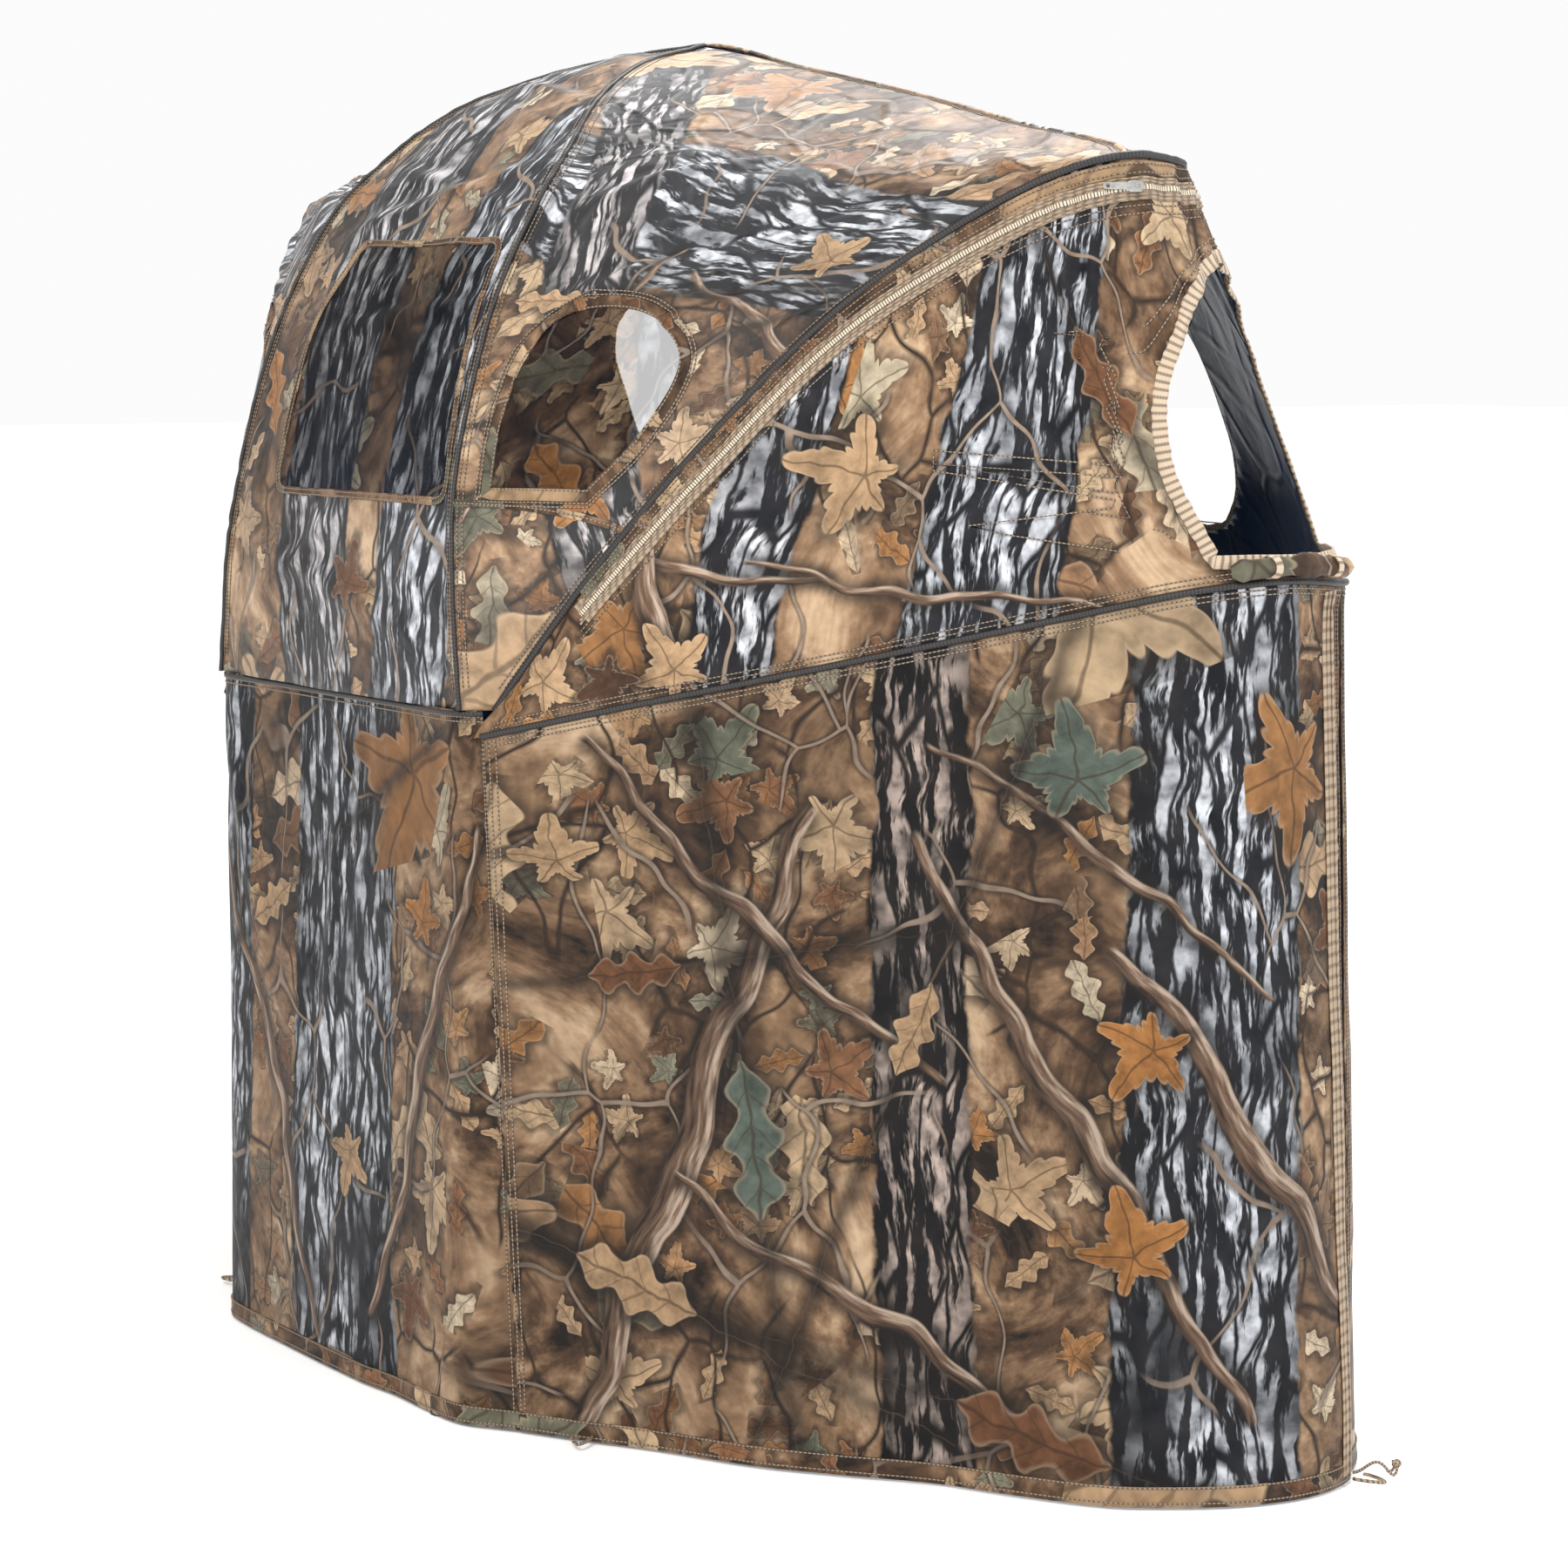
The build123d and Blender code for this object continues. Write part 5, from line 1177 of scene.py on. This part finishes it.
def build_band(sheet):
    P0 = sheet.P
    corner_depth = np.abs((P0 - CORNER_AT) @ CORNER_WAY)
    near_corner = (corner_depth < 0.17) & (P0[..., 0] < -0.5)
    corner = smooth_outline([(w + CORNER_AT @ CORNER_AXES[0], z) for w, z in CORNER_ARCH])
    front = rounded_box(0.62, 0.925, 1.195, 0.11)
    at_front = P0[..., 1] < -0.66
    P, keep_a = cut(sheet, corner, CORNER_AXES, near_corner)
    held = sheet.P
    sheet.P = P
    P, keep_b = cut(sheet, front, (SIDEWAYS, UP), at_front)
    patch = Patchwork()
    patch.grid(P, sheet.UV, sheet.W, keep_a & keep_b, flip=sheet_flip(sheet))
    sheet.P = held
    piece = patch.build("window_band_cloth", M["band"], M["inner"], thick=CLOTH)
    finish_cloth(piece, "middle_bow", "front_bow", "window_band")
    rim = Patchwork()
    rim_strip(rim, sheet, corner, CORNER_AXES, near_corner, 0.015, 0.0022, 0.0002, ruffle=0.0007, seed=5)
    rim_strip(rim, sheet, front, (SIDEWAYS, UP), at_front, 0.014, 0.0020, 0.0002, ruffle=0.0004, seed=6)
    finish_cloth(rim.build("window_bindings", M["binding"]), "middle_bow", "front_bow", slot="zip_tape")
    thread = Patchwork()
    for outline, axes, region in ((corner, CORNER_AXES, near_corner), (front, (SIDEWAYS, UP), at_front)):
        mid = outline.mean(axis=0)
        arched = outline is corner
        for shift in (0.011, 0.018):
            away = outline - mid
            grown = outline + away / np.linalg.norm(away, axis=1, keepdims=True) * shift
            if arched:
                grown = grown[:90][grown[:90, 1] > 0.936]
            else:
                grown[:, 1] = np.maximum(grown[:, 1], 0.934)
            rim_strip(thread, sheet, grown, axes, region, 0.0013, 0.0008, 0.0006, ruffle=0.0003, seed=8,
                      closed=not arched)
    columns = np.linspace(4, len(sheet.P) - 5, 420)
    for offset in (0.007, 0.012):
        seam_strip(thread, sheet, columns, offset, *STITCH, from_first=False)
    finish_cloth(thread.build("window_band_stitching", M["thread"]), "middle_bow", "front_bow")


FLAP, TAPE = 0.015, 0.024        # widths of the cover flap and of the zip's tape


def build_zips(sheet):
    """Cover flap, zip tape with its ribs, and the coil, under the middle bow's seam on both sides."""
    u = sheet.u[:, 0]
    for side, name in ((-1, "right"), (1, "left")):
        low, high = (0.92, 6.9) if side < 0 else (22 - 6.9, 22 - 0.92)
        columns = np.linspace(np.searchsorted(u, low), np.searchsorted(u, high), 230)
        flap, ribs, coil, thread = Patchwork(), Patchwork(), Patchwork(), Patchwork()
        seam_strip(flap, sheet, columns, 0.006 + FLAP / 2, FLAP, 0.0018, 0.0016)
        centre = FLAP + 0.006 + TAPE / 2
        seam_strip(ribs, sheet, columns, centre, TAPE, 0.0014, 0.0006)
        for offset in (-0.0100, -0.0062, 0.0062, 0.0100):
            seam_strip(ribs, sheet, columns, centre + offset, 0.0022, 0.0014, 0.0018)
        seam_strip(coil, sheet, columns, centre, 0.0052, 0.0022, 0.0018)
        for offset in (0.009, FLAP + 0.003):
            seam_strip(thread, sheet, columns, offset, 0.0011, 0.0007, 0.0034)
        for offset in (centre + TAPE / 2 + 0.005, centre + TAPE / 2 + 0.013):
            seam_strip(thread, sheet, columns, offset, *STITCH)
        finish_cloth(flap.build(name + "_zip_flap", M["trim"]), "middle_bow", "front_bow")
        finish_cloth(ribs.build(name + "_zip_tape", M["zip_tape"]), "middle_bow", "front_bow",
                     slot="zip_tape")
        finish_cloth(coil.build(name + "_zip_coil", M["zip_teeth"]), "middle_bow", "front_bow",
                     name + "_zip_chain", slot="zip_tape")
        finish_cloth(thread.build(name + "_zip_stitching", M["thread"]), "middle_bow", "front_bow")


def hang(piece, *nodes, slot="camo_fabric"):
    """A skirt piece rides on the front bow with a mesh of its own and hides the CAD parts that it replaces.
    """
    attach(piece, "front_bow")
    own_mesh(piece)
    if nodes:
        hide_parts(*nodes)


def skirt_sheet(stations_top, stations_low, count, seed):
    def along(line, stations):
        knots = np.linspace(0, 1, len(stations))
        return world(spline(line, np.interp(np.linspace(0, 1, count), knots, stations)))

    top, low = along(FULL_FRONT, stations_top), along(FULL_HEM, stations_low)
    sheet = Sheet(top, low, 1.0, 1.0, rows=110)
    plan = np.linalg.norm(np.diff(low[:, :2], axis=0), axis=1)
    run = np.broadcast_to(np.concatenate([[0], np.cumsum(plan)])[:, None], sheet.v.shape)
    sheet.run = run
    z = sheet.P[..., 2]
    drop = soft(0.9 - z, 0.05, 0.9)
    hangs = 0.0050 * noise2(run * 4.2, z * 0.9, seed) + 0.0024 * noise2(run * 11, z * 1.7, seed + 1)
    flutter = 0.0040 * np.sin(run * 23 + 2.4 * noise2(run * 3, z * 0.8, seed + 2)) * drop**2
    small = 0.0012 * noise2(run * 17, z * 12, seed + 3)
    gather = pucker(run, sheet.b, 210.0, 0.0022, 0.05, seed + 4)
    sheet.edge = np.minimum(sheet.b, 0.05 + 0 * sheet.b)
    sheet.push(hangs + flutter + small + gather)
    sheet.UV = np.stack([run, z * 1.0], -1)
    return sheet


def hem_and_thread(sheet):
    """Folded hem, its stitching and the stitching under the bow seam."""
    hem, thread = Patchwork(), Patchwork()
    last = len(sheet.P) - 1
    columns = np.linspace(0.5, last - 0.5, last)
    seam_strip(hem, sheet, columns, 0.010, 0.020, 0.0014, 0.0001, from_first=False)
    for offset in (0.004, 0.019):
        seam_strip(thread, sheet, columns, offset, 0.0013, 0.0006, 0.0014, from_first=False)
    for offset in (0.007, 0.012):
        seam_strip(thread, sheet, columns, offset, 0.0013, 0.0006, 0.0002)
    for at_end in (0, last):
        rows = np.linspace(1, sheet.v.shape[1] - 2, 160)
        for inset in (1.0, 2.4):
            spot = np.full(rows.shape, inset if at_end == 0 else last - inset)
            path, out = sheet.place(spot, rows), sheet.place(spot, rows, sheet.normals())
            thread.profile(path, out, 1.0, strip_shape(0.0013, 0.0006, 0.0002))
    return hem, thread


def build_side_skirt(side, name, seed):
    sheet = skirt_sheet([0.12, 1, 2, 3, 4, 5, 6, 7.03], [0.5, 1, 2, 3, 4, 5, 6, 7.03], 150, seed)
    patch = Patchwork()
    P, turn = sheet.P, sheet_flip(sheet)
    hem, thread = hem_and_thread(sheet)
    zips = Patchwork()
    rows = np.linspace(1, sheet.v.shape[1] - 2, 160)
    column = np.linspace(143.0, 147.0, 160)
    path, out = sheet.place(column, rows), sheet.place(column, rows, sheet.normals())
    zips.profile(path, out, 1.0, strip_shape(0.024, 0.0012, 0.0004))
    for offset in (-0.9, 0.9):
        beside = column + offset
        line, out_line = sheet.place(beside, rows), sheet.place(beside, rows, sheet.normals())
        zips.profile(line, out_line, 1.0, strip_shape(0.0022, 0.0014, 0.0016))
    patch.grid(P, sheet.UV, sheet.W, flip=turn)
    if side > 0:
        for part in (patch, hem, thread, zips):
            part.verts = [mirrored(v) for v in part.verts]
            part.faces = [face[::-1] for face in part.faces]
    hang(patch.build(name + "_skirt_cloth", M["side"], M["inner"], thick=CLOTH), name + "_skirt")
    hang(hem.build(name + "_skirt_hem", M["trim"]))
    hang(thread.build(name + "_skirt_stitching", M["thread"]))
    hang(zips.build(name + "_corner_zip_tape", M["zip_tape"]), slot="zip_tape")


def build_front_skirt():
    sheet = skirt_sheet(np.linspace(7.03, 14.97, 9), np.linspace(7.03, 14.97, 9), 230, 81)
    patch = Patchwork()
    patch.grid(sheet.P, sheet.UV, sheet.W, flip=sheet_flip(sheet))
    hem, thread = hem_and_thread(sheet)
    hang(patch.build("front_skirt_cloth", M["front"], M["inner"], thick=CLOTH), "front_skirt")
    hang(hem.build("front_skirt_hem", M["trim"]))
    hang(thread.build("front_skirt_stitching", M["thread"]))


def build_rear_skirt():
    """Rear skirt with a short return round each rear corner, fixed to the chair."""
    heights = np.linspace(0.752, 0.003, 96)
    share = (0.752 - heights) / 0.749
    rows = []
    for s in share:
        corner_f, corner_s = -18 + 5 * s, 283 - 17 * s
        end_f, end_s = 2 + 31 * s, 297 + 34 * s
        run = np.array([corner_f - end_f, corner_s - end_s], float)
        run /= np.linalg.norm(run)
        bend_in = (corner_f - run[0] * 12, corner_s - run[1] * 12)
        half = [(end_f, end_s), ((end_f + bend_in[0]) / 2, (end_s + bend_in[1]) / 2), bend_in,
                (corner_f, corner_s - 12), (-18, 150)]
        full = half + [(-18, 0)] + [(f, -x) for f, x in reversed(half)]
        line = spline(full, np.concatenate([np.linspace(0, 2, 14, endpoint=False),
                                            np.linspace(2, 3, 8, endpoint=False),
                                            np.linspace(3, 7, 80, endpoint=False),
                                            np.linspace(7, 8, 8, endpoint=False),
                                            np.linspace(8, 10, 14)]))
        rows.append(np.stack([-line[:, 1], -line[:, 0], np.full(len(line), 0.0)], -1) / 1000)
    P = np.stack(rows, 1)
    P[..., 2] = heights[None, :]
    sheet = Sheet(P[:, 0], P[:, -1], 0.0, 0.0, rows=96)
    sheet.P = P
    step = np.linalg.norm(np.diff(P[:, 40], axis=0), axis=1)
    run = np.broadcast_to(np.concatenate([[0], np.cumsum(step)])[:, None], P.shape[:2])
    z = P[..., 2]
    drop = soft(0.75 - z, 0.0, 0.75)
    sheet.edge = np.minimum(0.752 - z, 0.05)
    ripple = 0.0040 * noise2(run * 6, z * 1.2, 91) * drop + 0.0022 * noise2(run * 16, z * 5, 92)
    ripple = folded(
        ripple, run, z,
        ((0.10, 0.74), (0.30, 0.50), 0.016, 0.003), ((0.60, 0.74), (0.48, 0.40), 0.018, 0.004),
        ((0.30, 0.72), (0.36, 0.30), 0.016, 0.003))
    sheet.push(ripple - 0.001)
    sheet.UV = np.stack([run, z], -1)
    patch = Patchwork()
    patch.grid(sheet.P, sheet.UV, sheet.W, flip=sheet_flip(sheet))
    hem, thread = hem_and_thread(sheet)
    cover = Patchwork()
    columns = np.linspace(0.5, len(P) - 1.5, 200)
    seam_strip(cover, sheet, columns, 0.004, 0.005, 0.0014, 0.0004)
    for patchwork, title, material, nodes in ((patch, "rear_skirt_cloth", "rear_skirt", ["rear_skirt"]),
                                              (hem, "rear_skirt_hem", "trim", []),
                                              (thread, "rear_skirt_stitching", "thread", []),
                                              (cover, "arm_level_seam", "piping", [])):
        if title == "rear_skirt_cloth":
            piece = patchwork.build(title, M[material], M["inner"], thick=CLOTH)
        else:
            piece = patchwork.build(title, M[material])
        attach(piece, "chair_back")
        if nodes:
            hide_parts(*nodes)


def build_piping():
    """Corded seams over the three bows."""
    for line, name, body, radius, start in ((FULL_MID, "middle_bow_piping", "middle_bow", 0.0042, 0.0),
                                            (FULL_FRONT, "front_bow_piping", "front_bow", 0.0036, 0.10),
                                            (both_sides(REAR_LINE), "rear_bow_piping", "rear_bow", 0.0026,
                                             0.0)):
        u = np.linspace(start, len(line) - 1 - start, 520)
        path = world(spline(line, u))
        out = path - CABIN
        out /= np.linalg.norm(out, axis=1, keepdims=True)
        wobble = 0.0008 * noise2(u * 9, u * 0, 7)
        path = path + out * (0.0005 + wobble)[:, None]
        cord = Patchwork()
        cord.profile(path, out, 0.0, round_shape(radius))
        piece = cord.build(name, M["piping"])
        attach(piece, body)
    u = np.linspace(0.0, 10.0, 300)
    path = world(spline(FULL_RIDGE, u))
    out = np.array([0.0, 0.15, 1.0])
    welt = Patchwork()
    welt.profile(path, out, np.interp(u, [0, 5, 10], [1, 0, 1]), [(0.0035 * x, 0.0022 * y) for x, y in ROUND])
    finish_cloth(welt.build("roof_ridge_welt", M["wing"]), "rear_bow", "middle_bow")


def build_cover_and_cords():
    """Rolled window cover on the corner's sill, its ties, and the knotted hem cord."""
    u = np.linspace(5.35, 6.95, 60)
    path = world(spline(FULL_FRONT, u))
    out = path - np.array([0.0, -0.38, path[:, 2].mean()])
    out[:, 2] = 0
    out /= np.linalg.norm(out, axis=1, keepdims=True)
    path = path + out * 0.012 + np.array([0, 0, 0.016])
    taper = np.minimum(1, 0.55 + 4 * np.minimum(u - u[0], u[-1] - u))
    swell = 0.0105 * (1 + 0.16 * noise2(u * 7, u * 0, 21)) * taper
    angles = np.linspace(0, 2 * math.pi, 20, endpoint=False)
    across, round_it = np.meshgrid(angles, u)
    pleat = 1 + 0.09 * np.sin(angles * 5)[None] + 0.05 * noise2(round_it * 14, across * 2, 22)
    shape = np.stack([swell[:, None] * pleat * np.cos(angles),
                      swell[:, None] * 0.82 * pleat * np.sin(angles)], -1)
    roll = Patchwork()
    roll.profile(path, out, 1.0, shape)
    piece = roll.build("rolled_window_cover", M["trim"])
    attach(piece, "front_bow")
    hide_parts("corner_window_cover")
    ties = Patchwork()
    for spot in (14, 44):
        ring = [path[spot] + 0.0122 * (math.cos(t) * out[spot] + math.sin(t) * np.array([0, 0, 0.86]))
                for t in np.linspace(0, 2 * math.pi, 24, endpoint=False)]
        ties.profile(ring, np.gradient(path, axis=0)[spot], 1.0, strip_shape(0.0014, 0.007), closed=True)
    piece = ties.build("cover_ties", M["binding"])
    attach(piece, "front_bow")
    cords = Patchwork()
    for side in (-1, 1):
        foot = np.array([side * 0.936, -0.634, 0.010])
        way = np.array([side * 0.86, -0.5, 0.0])
        t = np.linspace(0, 1, 60)[:, None]
        up = np.array([0, 0, 1.0])
        curl = foot + way * 0.036 * np.sin(t * 2.6) + np.array([0.0, -0.022, 0.0]) * t
        curl = curl + up * (0.012 * np.sin(t * 6.5) ** 2)
        cords.profile(curl, up, 1.0, round_shape(0.0016))
        a = np.linspace(0, 4 * math.pi, 50)
        knot = curl[46] + 0.0034 * np.stack([np.cos(a), np.sin(a), 0.5 * np.sin(a * 1.5)], -1)
        cords.profile(knot, up, 1.0, round_shape(0.0017))
    hang(cords.build("hem_corner_cords", M["cord"]))
    loops = NODES["hem_stake_loops"]
    mesh = loops.data.copy()
    mesh.transform(loops.matrix_world)
    mesh.materials.clear()
    mesh.materials.append(M["cord"])
    piece = bpy.data.objects.new("hem_stake_cords", mesh)
    bpy.context.scene.collection.objects.link(piece)
    layer = mesh.uv_layers.get("cloth") or mesh.uv_layers.new(name="cloth")
    places = [mesh.vertices[loop.vertex_index].co.yz for loop in mesh.loops]
    layer.data.foreach_set("uv", np.array(places, np.float32).ravel())
    hang(piece, "hem_stake_loops")


# ------------------------------------------------------------------ chair cloth and pads
def build_slings():
    low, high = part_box("seat_sling")
    y = np.linspace(low[1], high[1], 60)
    t = np.linspace(-1, 1, 70)
    rail, rail_r = 0.191, 0.0112
    top = 0.420
    P = np.zeros((70, 60, 3))
    P[..., 0] = (t * 0.176)[:, None]
    P[..., 1] = y[None]
    sag = -0.022 * (1 - t**2)[:, None] * (0.75 + 0.25 * np.sin(np.linspace(0, math.pi, 60)))[None]
    P[..., 2] = top + 0.004 + sag + 0.0008 * noise2(P[..., 0] * 40, P[..., 1] * 30, 31)
    seat = Patchwork()
    UV = np.stack([P[..., 0], P[..., 1]], -1)
    seat.grid(P, UV, 0.0)
    for side in (-1, 1):
        wrap = np.linspace(math.radians(150), math.radians(-150), 30)
        ring = np.stack([side * (rail - rail_r * np.cos(wrap)), top + rail_r * np.sin(wrap)], -1)
        W = np.zeros((31, 60, 3))
        first = P[0 if side < 0 else -1, 0]
        W[0, :, 0], W[0, :, 2] = first[0], P[0 if side < 0 else -1, :, 2]
        W[1:, :, 0], W[1:, :, 2] = ring[:, :1], ring[:, 1:]
        W[..., 1] = y[None]
        seat.grid(W, np.stack([W[..., 0], W[..., 1]], -1), 0.0, flip=side < 0)
    piece = seat.build("seat_sling_cloth", M["sling"], thick=0.0012)
    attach(piece, "seat")
    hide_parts("seat_sling")
    low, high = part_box("back_sling")
    z = np.linspace(low[2], high[2], 60)
    P = np.zeros((80, 60, 3))
    x = np.linspace(-0.2148, 0.2148, 80)
    P[..., 0] = x[:, None]
    P[..., 2] = z[None]
    P[..., 1] = 0.0128 + 0.0006 * noise2(P[..., 0] * 20, P[..., 2] * 14, 33)
    back = Patchwork()
    back.grid(P, np.stack([P[..., 0], P[..., 2]], -1), 0.0)
    for side in (-1, 1):
        wrap = np.linspace(math.radians(90), math.radians(-100), 26)
        W = np.zeros((26, 60, 3))
        W[..., 0] = (side * (0.215 + 0.0128 * np.cos(wrap)))[:, None]
        W[..., 1] = (0.0128 * np.sin(wrap))[:, None]
        W[..., 2] = z[None]
        back.grid(W, np.stack([W[..., 0], W[..., 2]], -1), 0.0, flip=side < 0)
    piece = back.build("back_sling_cloth", M["sling"], thick=CLOTH)
    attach(piece, "chair_back")
    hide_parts("back_sling")


def build_pad(name):
    """Crowned armrest pad with a piped edge."""
    low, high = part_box(name + "_armrest_pad")
    size, mid = high - low, (high + low) * 0.5
    a, b = size[0] / 2 - 0.001, size[1] / 2 - 0.001
    pad = Patchwork()
    t = np.linspace(0, 2 * math.pi, 73)
    square = lambda v, p: np.sign(v) * np.abs(v) ** p
    rim = np.stack([a * square(np.cos(t), 0.45), b * square(np.sin(t), 0.12)], -1)
    rings = [(0.0, 1.0), (0.30, 0.99), (0.62, 0.94), (0.82, 0.82), (0.94, 0.66), (0.985, 0.50),
             (1.0, 0.36), (0.99, 0.20), (0.95, 0.06), (0.80, 0.0), (0.0, 0.0)]
    P = np.zeros((len(rings), len(t), 3))
    for i, (out, up) in enumerate(rings):
        P[i, :, 0] = mid[0] + rim[:, 0] * out
        P[i, :, 1] = mid[1] + np.sign(rim[:, 1]) * np.maximum(np.abs(rim[:, 1]) - (1 - out) * a, 0)
        P[i, :, 2] = low[2] + size[2] * up * (1 - 0.05 * (1 - out))
    pad.grid(P, np.stack([P[..., 0], P[..., 1] + P[..., 2]], -1), 0.0, flip=True)
    piece = pad.build(name + "_armrest_cushion", M["pad"])
    smooth = piece.modifiers.new("smooth", "SUBSURF")
    smooth.levels = smooth.render_levels = 1
    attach(piece, name + "_arm")
    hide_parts(name + "_armrest_pad")
    cord = Patchwork()
    edge = np.stack([mid[0] + rim[:-1, 0] * 0.99, mid[1] + rim[:-1, 1] * 0.995,
                     np.full(72, low[2] + size[2] * 0.36)], -1)
    cord.profile(edge, edge - np.array([mid[0], mid[1], edge[0, 2]]), 0.0, round_shape(0.0014), closed=True)
    piece = cord.build(name + "_armrest_piping", M["piping"])
    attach(piece, name + "_arm")


def paint_frame():
    """Finishes for the CAD parts that stay."""
    kinds = {"steel": ["chair_back_frame", "chair_rear_stay", "seat_frame", "seat_rear_stay", "front_legs",
                       "front_leg_stay"],
             "bolt": ["hub_bolts", "hub_washers", "hub_nuts", "rear_pivot_bolts", "front_pivot_bolts",
                      "arm_front_bolts"],
             "rod": ["rear_bow_rod", "middle_bow_rod", "front_bow_rod"],
             "moulded": ["rear_bow_knuckles", "middle_bow_knuckles", "front_bow_knuckles", "rear_foot_caps",
                         "front_foot_caps",
                         "leg_top_caps", "right_armrest_bar", "left_armrest_bar"],
             "slider": ["right_zip_slider", "left_zip_slider"]}
    for kind, names in kinds.items():
        for name in names:
            NODES[name].data.materials.clear()
            NODES[name].data.materials.append(M[kind])


# ------------------------------------------------------------------ studio
def build_stage():
    scene = bpy.context.scene
    mesh = bpy.data.meshes.new("floor")
    r = 40.0
    mesh.from_pydata([(-r, -r, 0), (r, -r, 0), (r, r, 0), (-r, r, 0)], [], [(0, 1, 2, 3)])
    floor = bpy.data.objects.new("floor", mesh)
    scene.collection.objects.link(floor)
    material = bpy.data.materials.new("pale floor")
    g, shader, _ = surface(material)
    place = g.add("ShaderNodeTexCoord").outputs["Object"]
    g.put(shader.inputs["Base Color"], g.ramp(g.noise(place, 2.0, 3.0), (0.3, (0.86, 0.86, 0.86)),
                                              (0.7, (0.90, 0.90, 0.90))))
    g.put(shader.inputs["Roughness"], 0.85)
    g.put(shader.inputs["Emission Color"], (1.0, 1.0, 1.0))
    g.put(shader.inputs["Emission Strength"], 0.15)
    mesh.materials.append(material)
    world_light = bpy.data.worlds.new("studio")
    scene.world = world_light
    world_light.use_nodes = True
    background = world_light.node_tree.nodes["Background"]
    background.inputs[0].default_value = (1.0, 1.0, 1.0, 1.0)
    background.inputs[1].default_value = 0.97
    for name, place, aim, size, power, tint in (
            ("key", (-3.2, 3.4, 4.2), (0, -0.3, 0.7), 2.2, 250.0, (1.0, 0.98, 0.95)),
            ("top", (0.8, -1.8, 4.6), (0, -0.4, 1.2), 2.4, 210.0, (1.0, 1.0, 1.0)),
            ("rim", (-3.8, -3.0, 2.4), (-0.6, -0.5, 0.9), 1.6, 90.0, (0.95, 0.97, 1.0))):
        lamp = bpy.data.lights.new(name, "AREA")
        lamp.shape = "DISK"
        lamp.size, lamp.energy, lamp.color = size, power, tint
        item = bpy.data.objects.new(name, lamp)
        scene.collection.objects.link(item)
        item.location = place
        way = np.array(aim, float) - np.array(place, float)
        pitch = math.atan2(math.hypot(way[0], way[1]), -way[2])
        item.rotation_euler = (pitch, 0.0, math.atan2(way[1], way[0]) - math.pi / 2)
    camera_data = bpy.data.cameras.new("camera")
    camera_data.lens, camera_data.sensor_width = 87.8, 36.0
    camera_data.clip_end = 200
    camera = bpy.data.objects.new("camera", camera_data)
    scene.collection.objects.link(camera)
    camera.location = (CAMERA_X, 1.968, 1.148)
    camera.rotation_euler = (math.radians(90), 0.0, math.radians(-124.0))
    # a level camera with its lens shifted down keeps the uprights upright; other views have no shift
    driver = camera_data.driver_add("shift_y").driver
    driver.type = "SCRIPTED"
    variable = driver.variables.new()
    variable.name = "side"
    variable.targets[0].id = camera
    variable.targets[0].data_path = "location.x"
    driver.expression = f"{SHIFT_Y} if abs(side - ({CAMERA_X})) < 0.001 else 0.0"
    scene.camera = camera
    scene.view_settings.view_transform = "Standard"


build_rear_wall()
build_wing(-1, "right", 21)
build_wing(1, "left", 27)
build_roof()
BAND = band_sheet()
build_band(BAND)
build_zips(BAND)
build_side_skirt(-1, "right", 61)
build_side_skirt(1, "left", 71)
build_front_skirt()
build_rear_skirt()
build_piping()
build_cover_and_cords()
build_slings()
build_pad("right")
build_pad("left")
paint_frame()
build_stage()
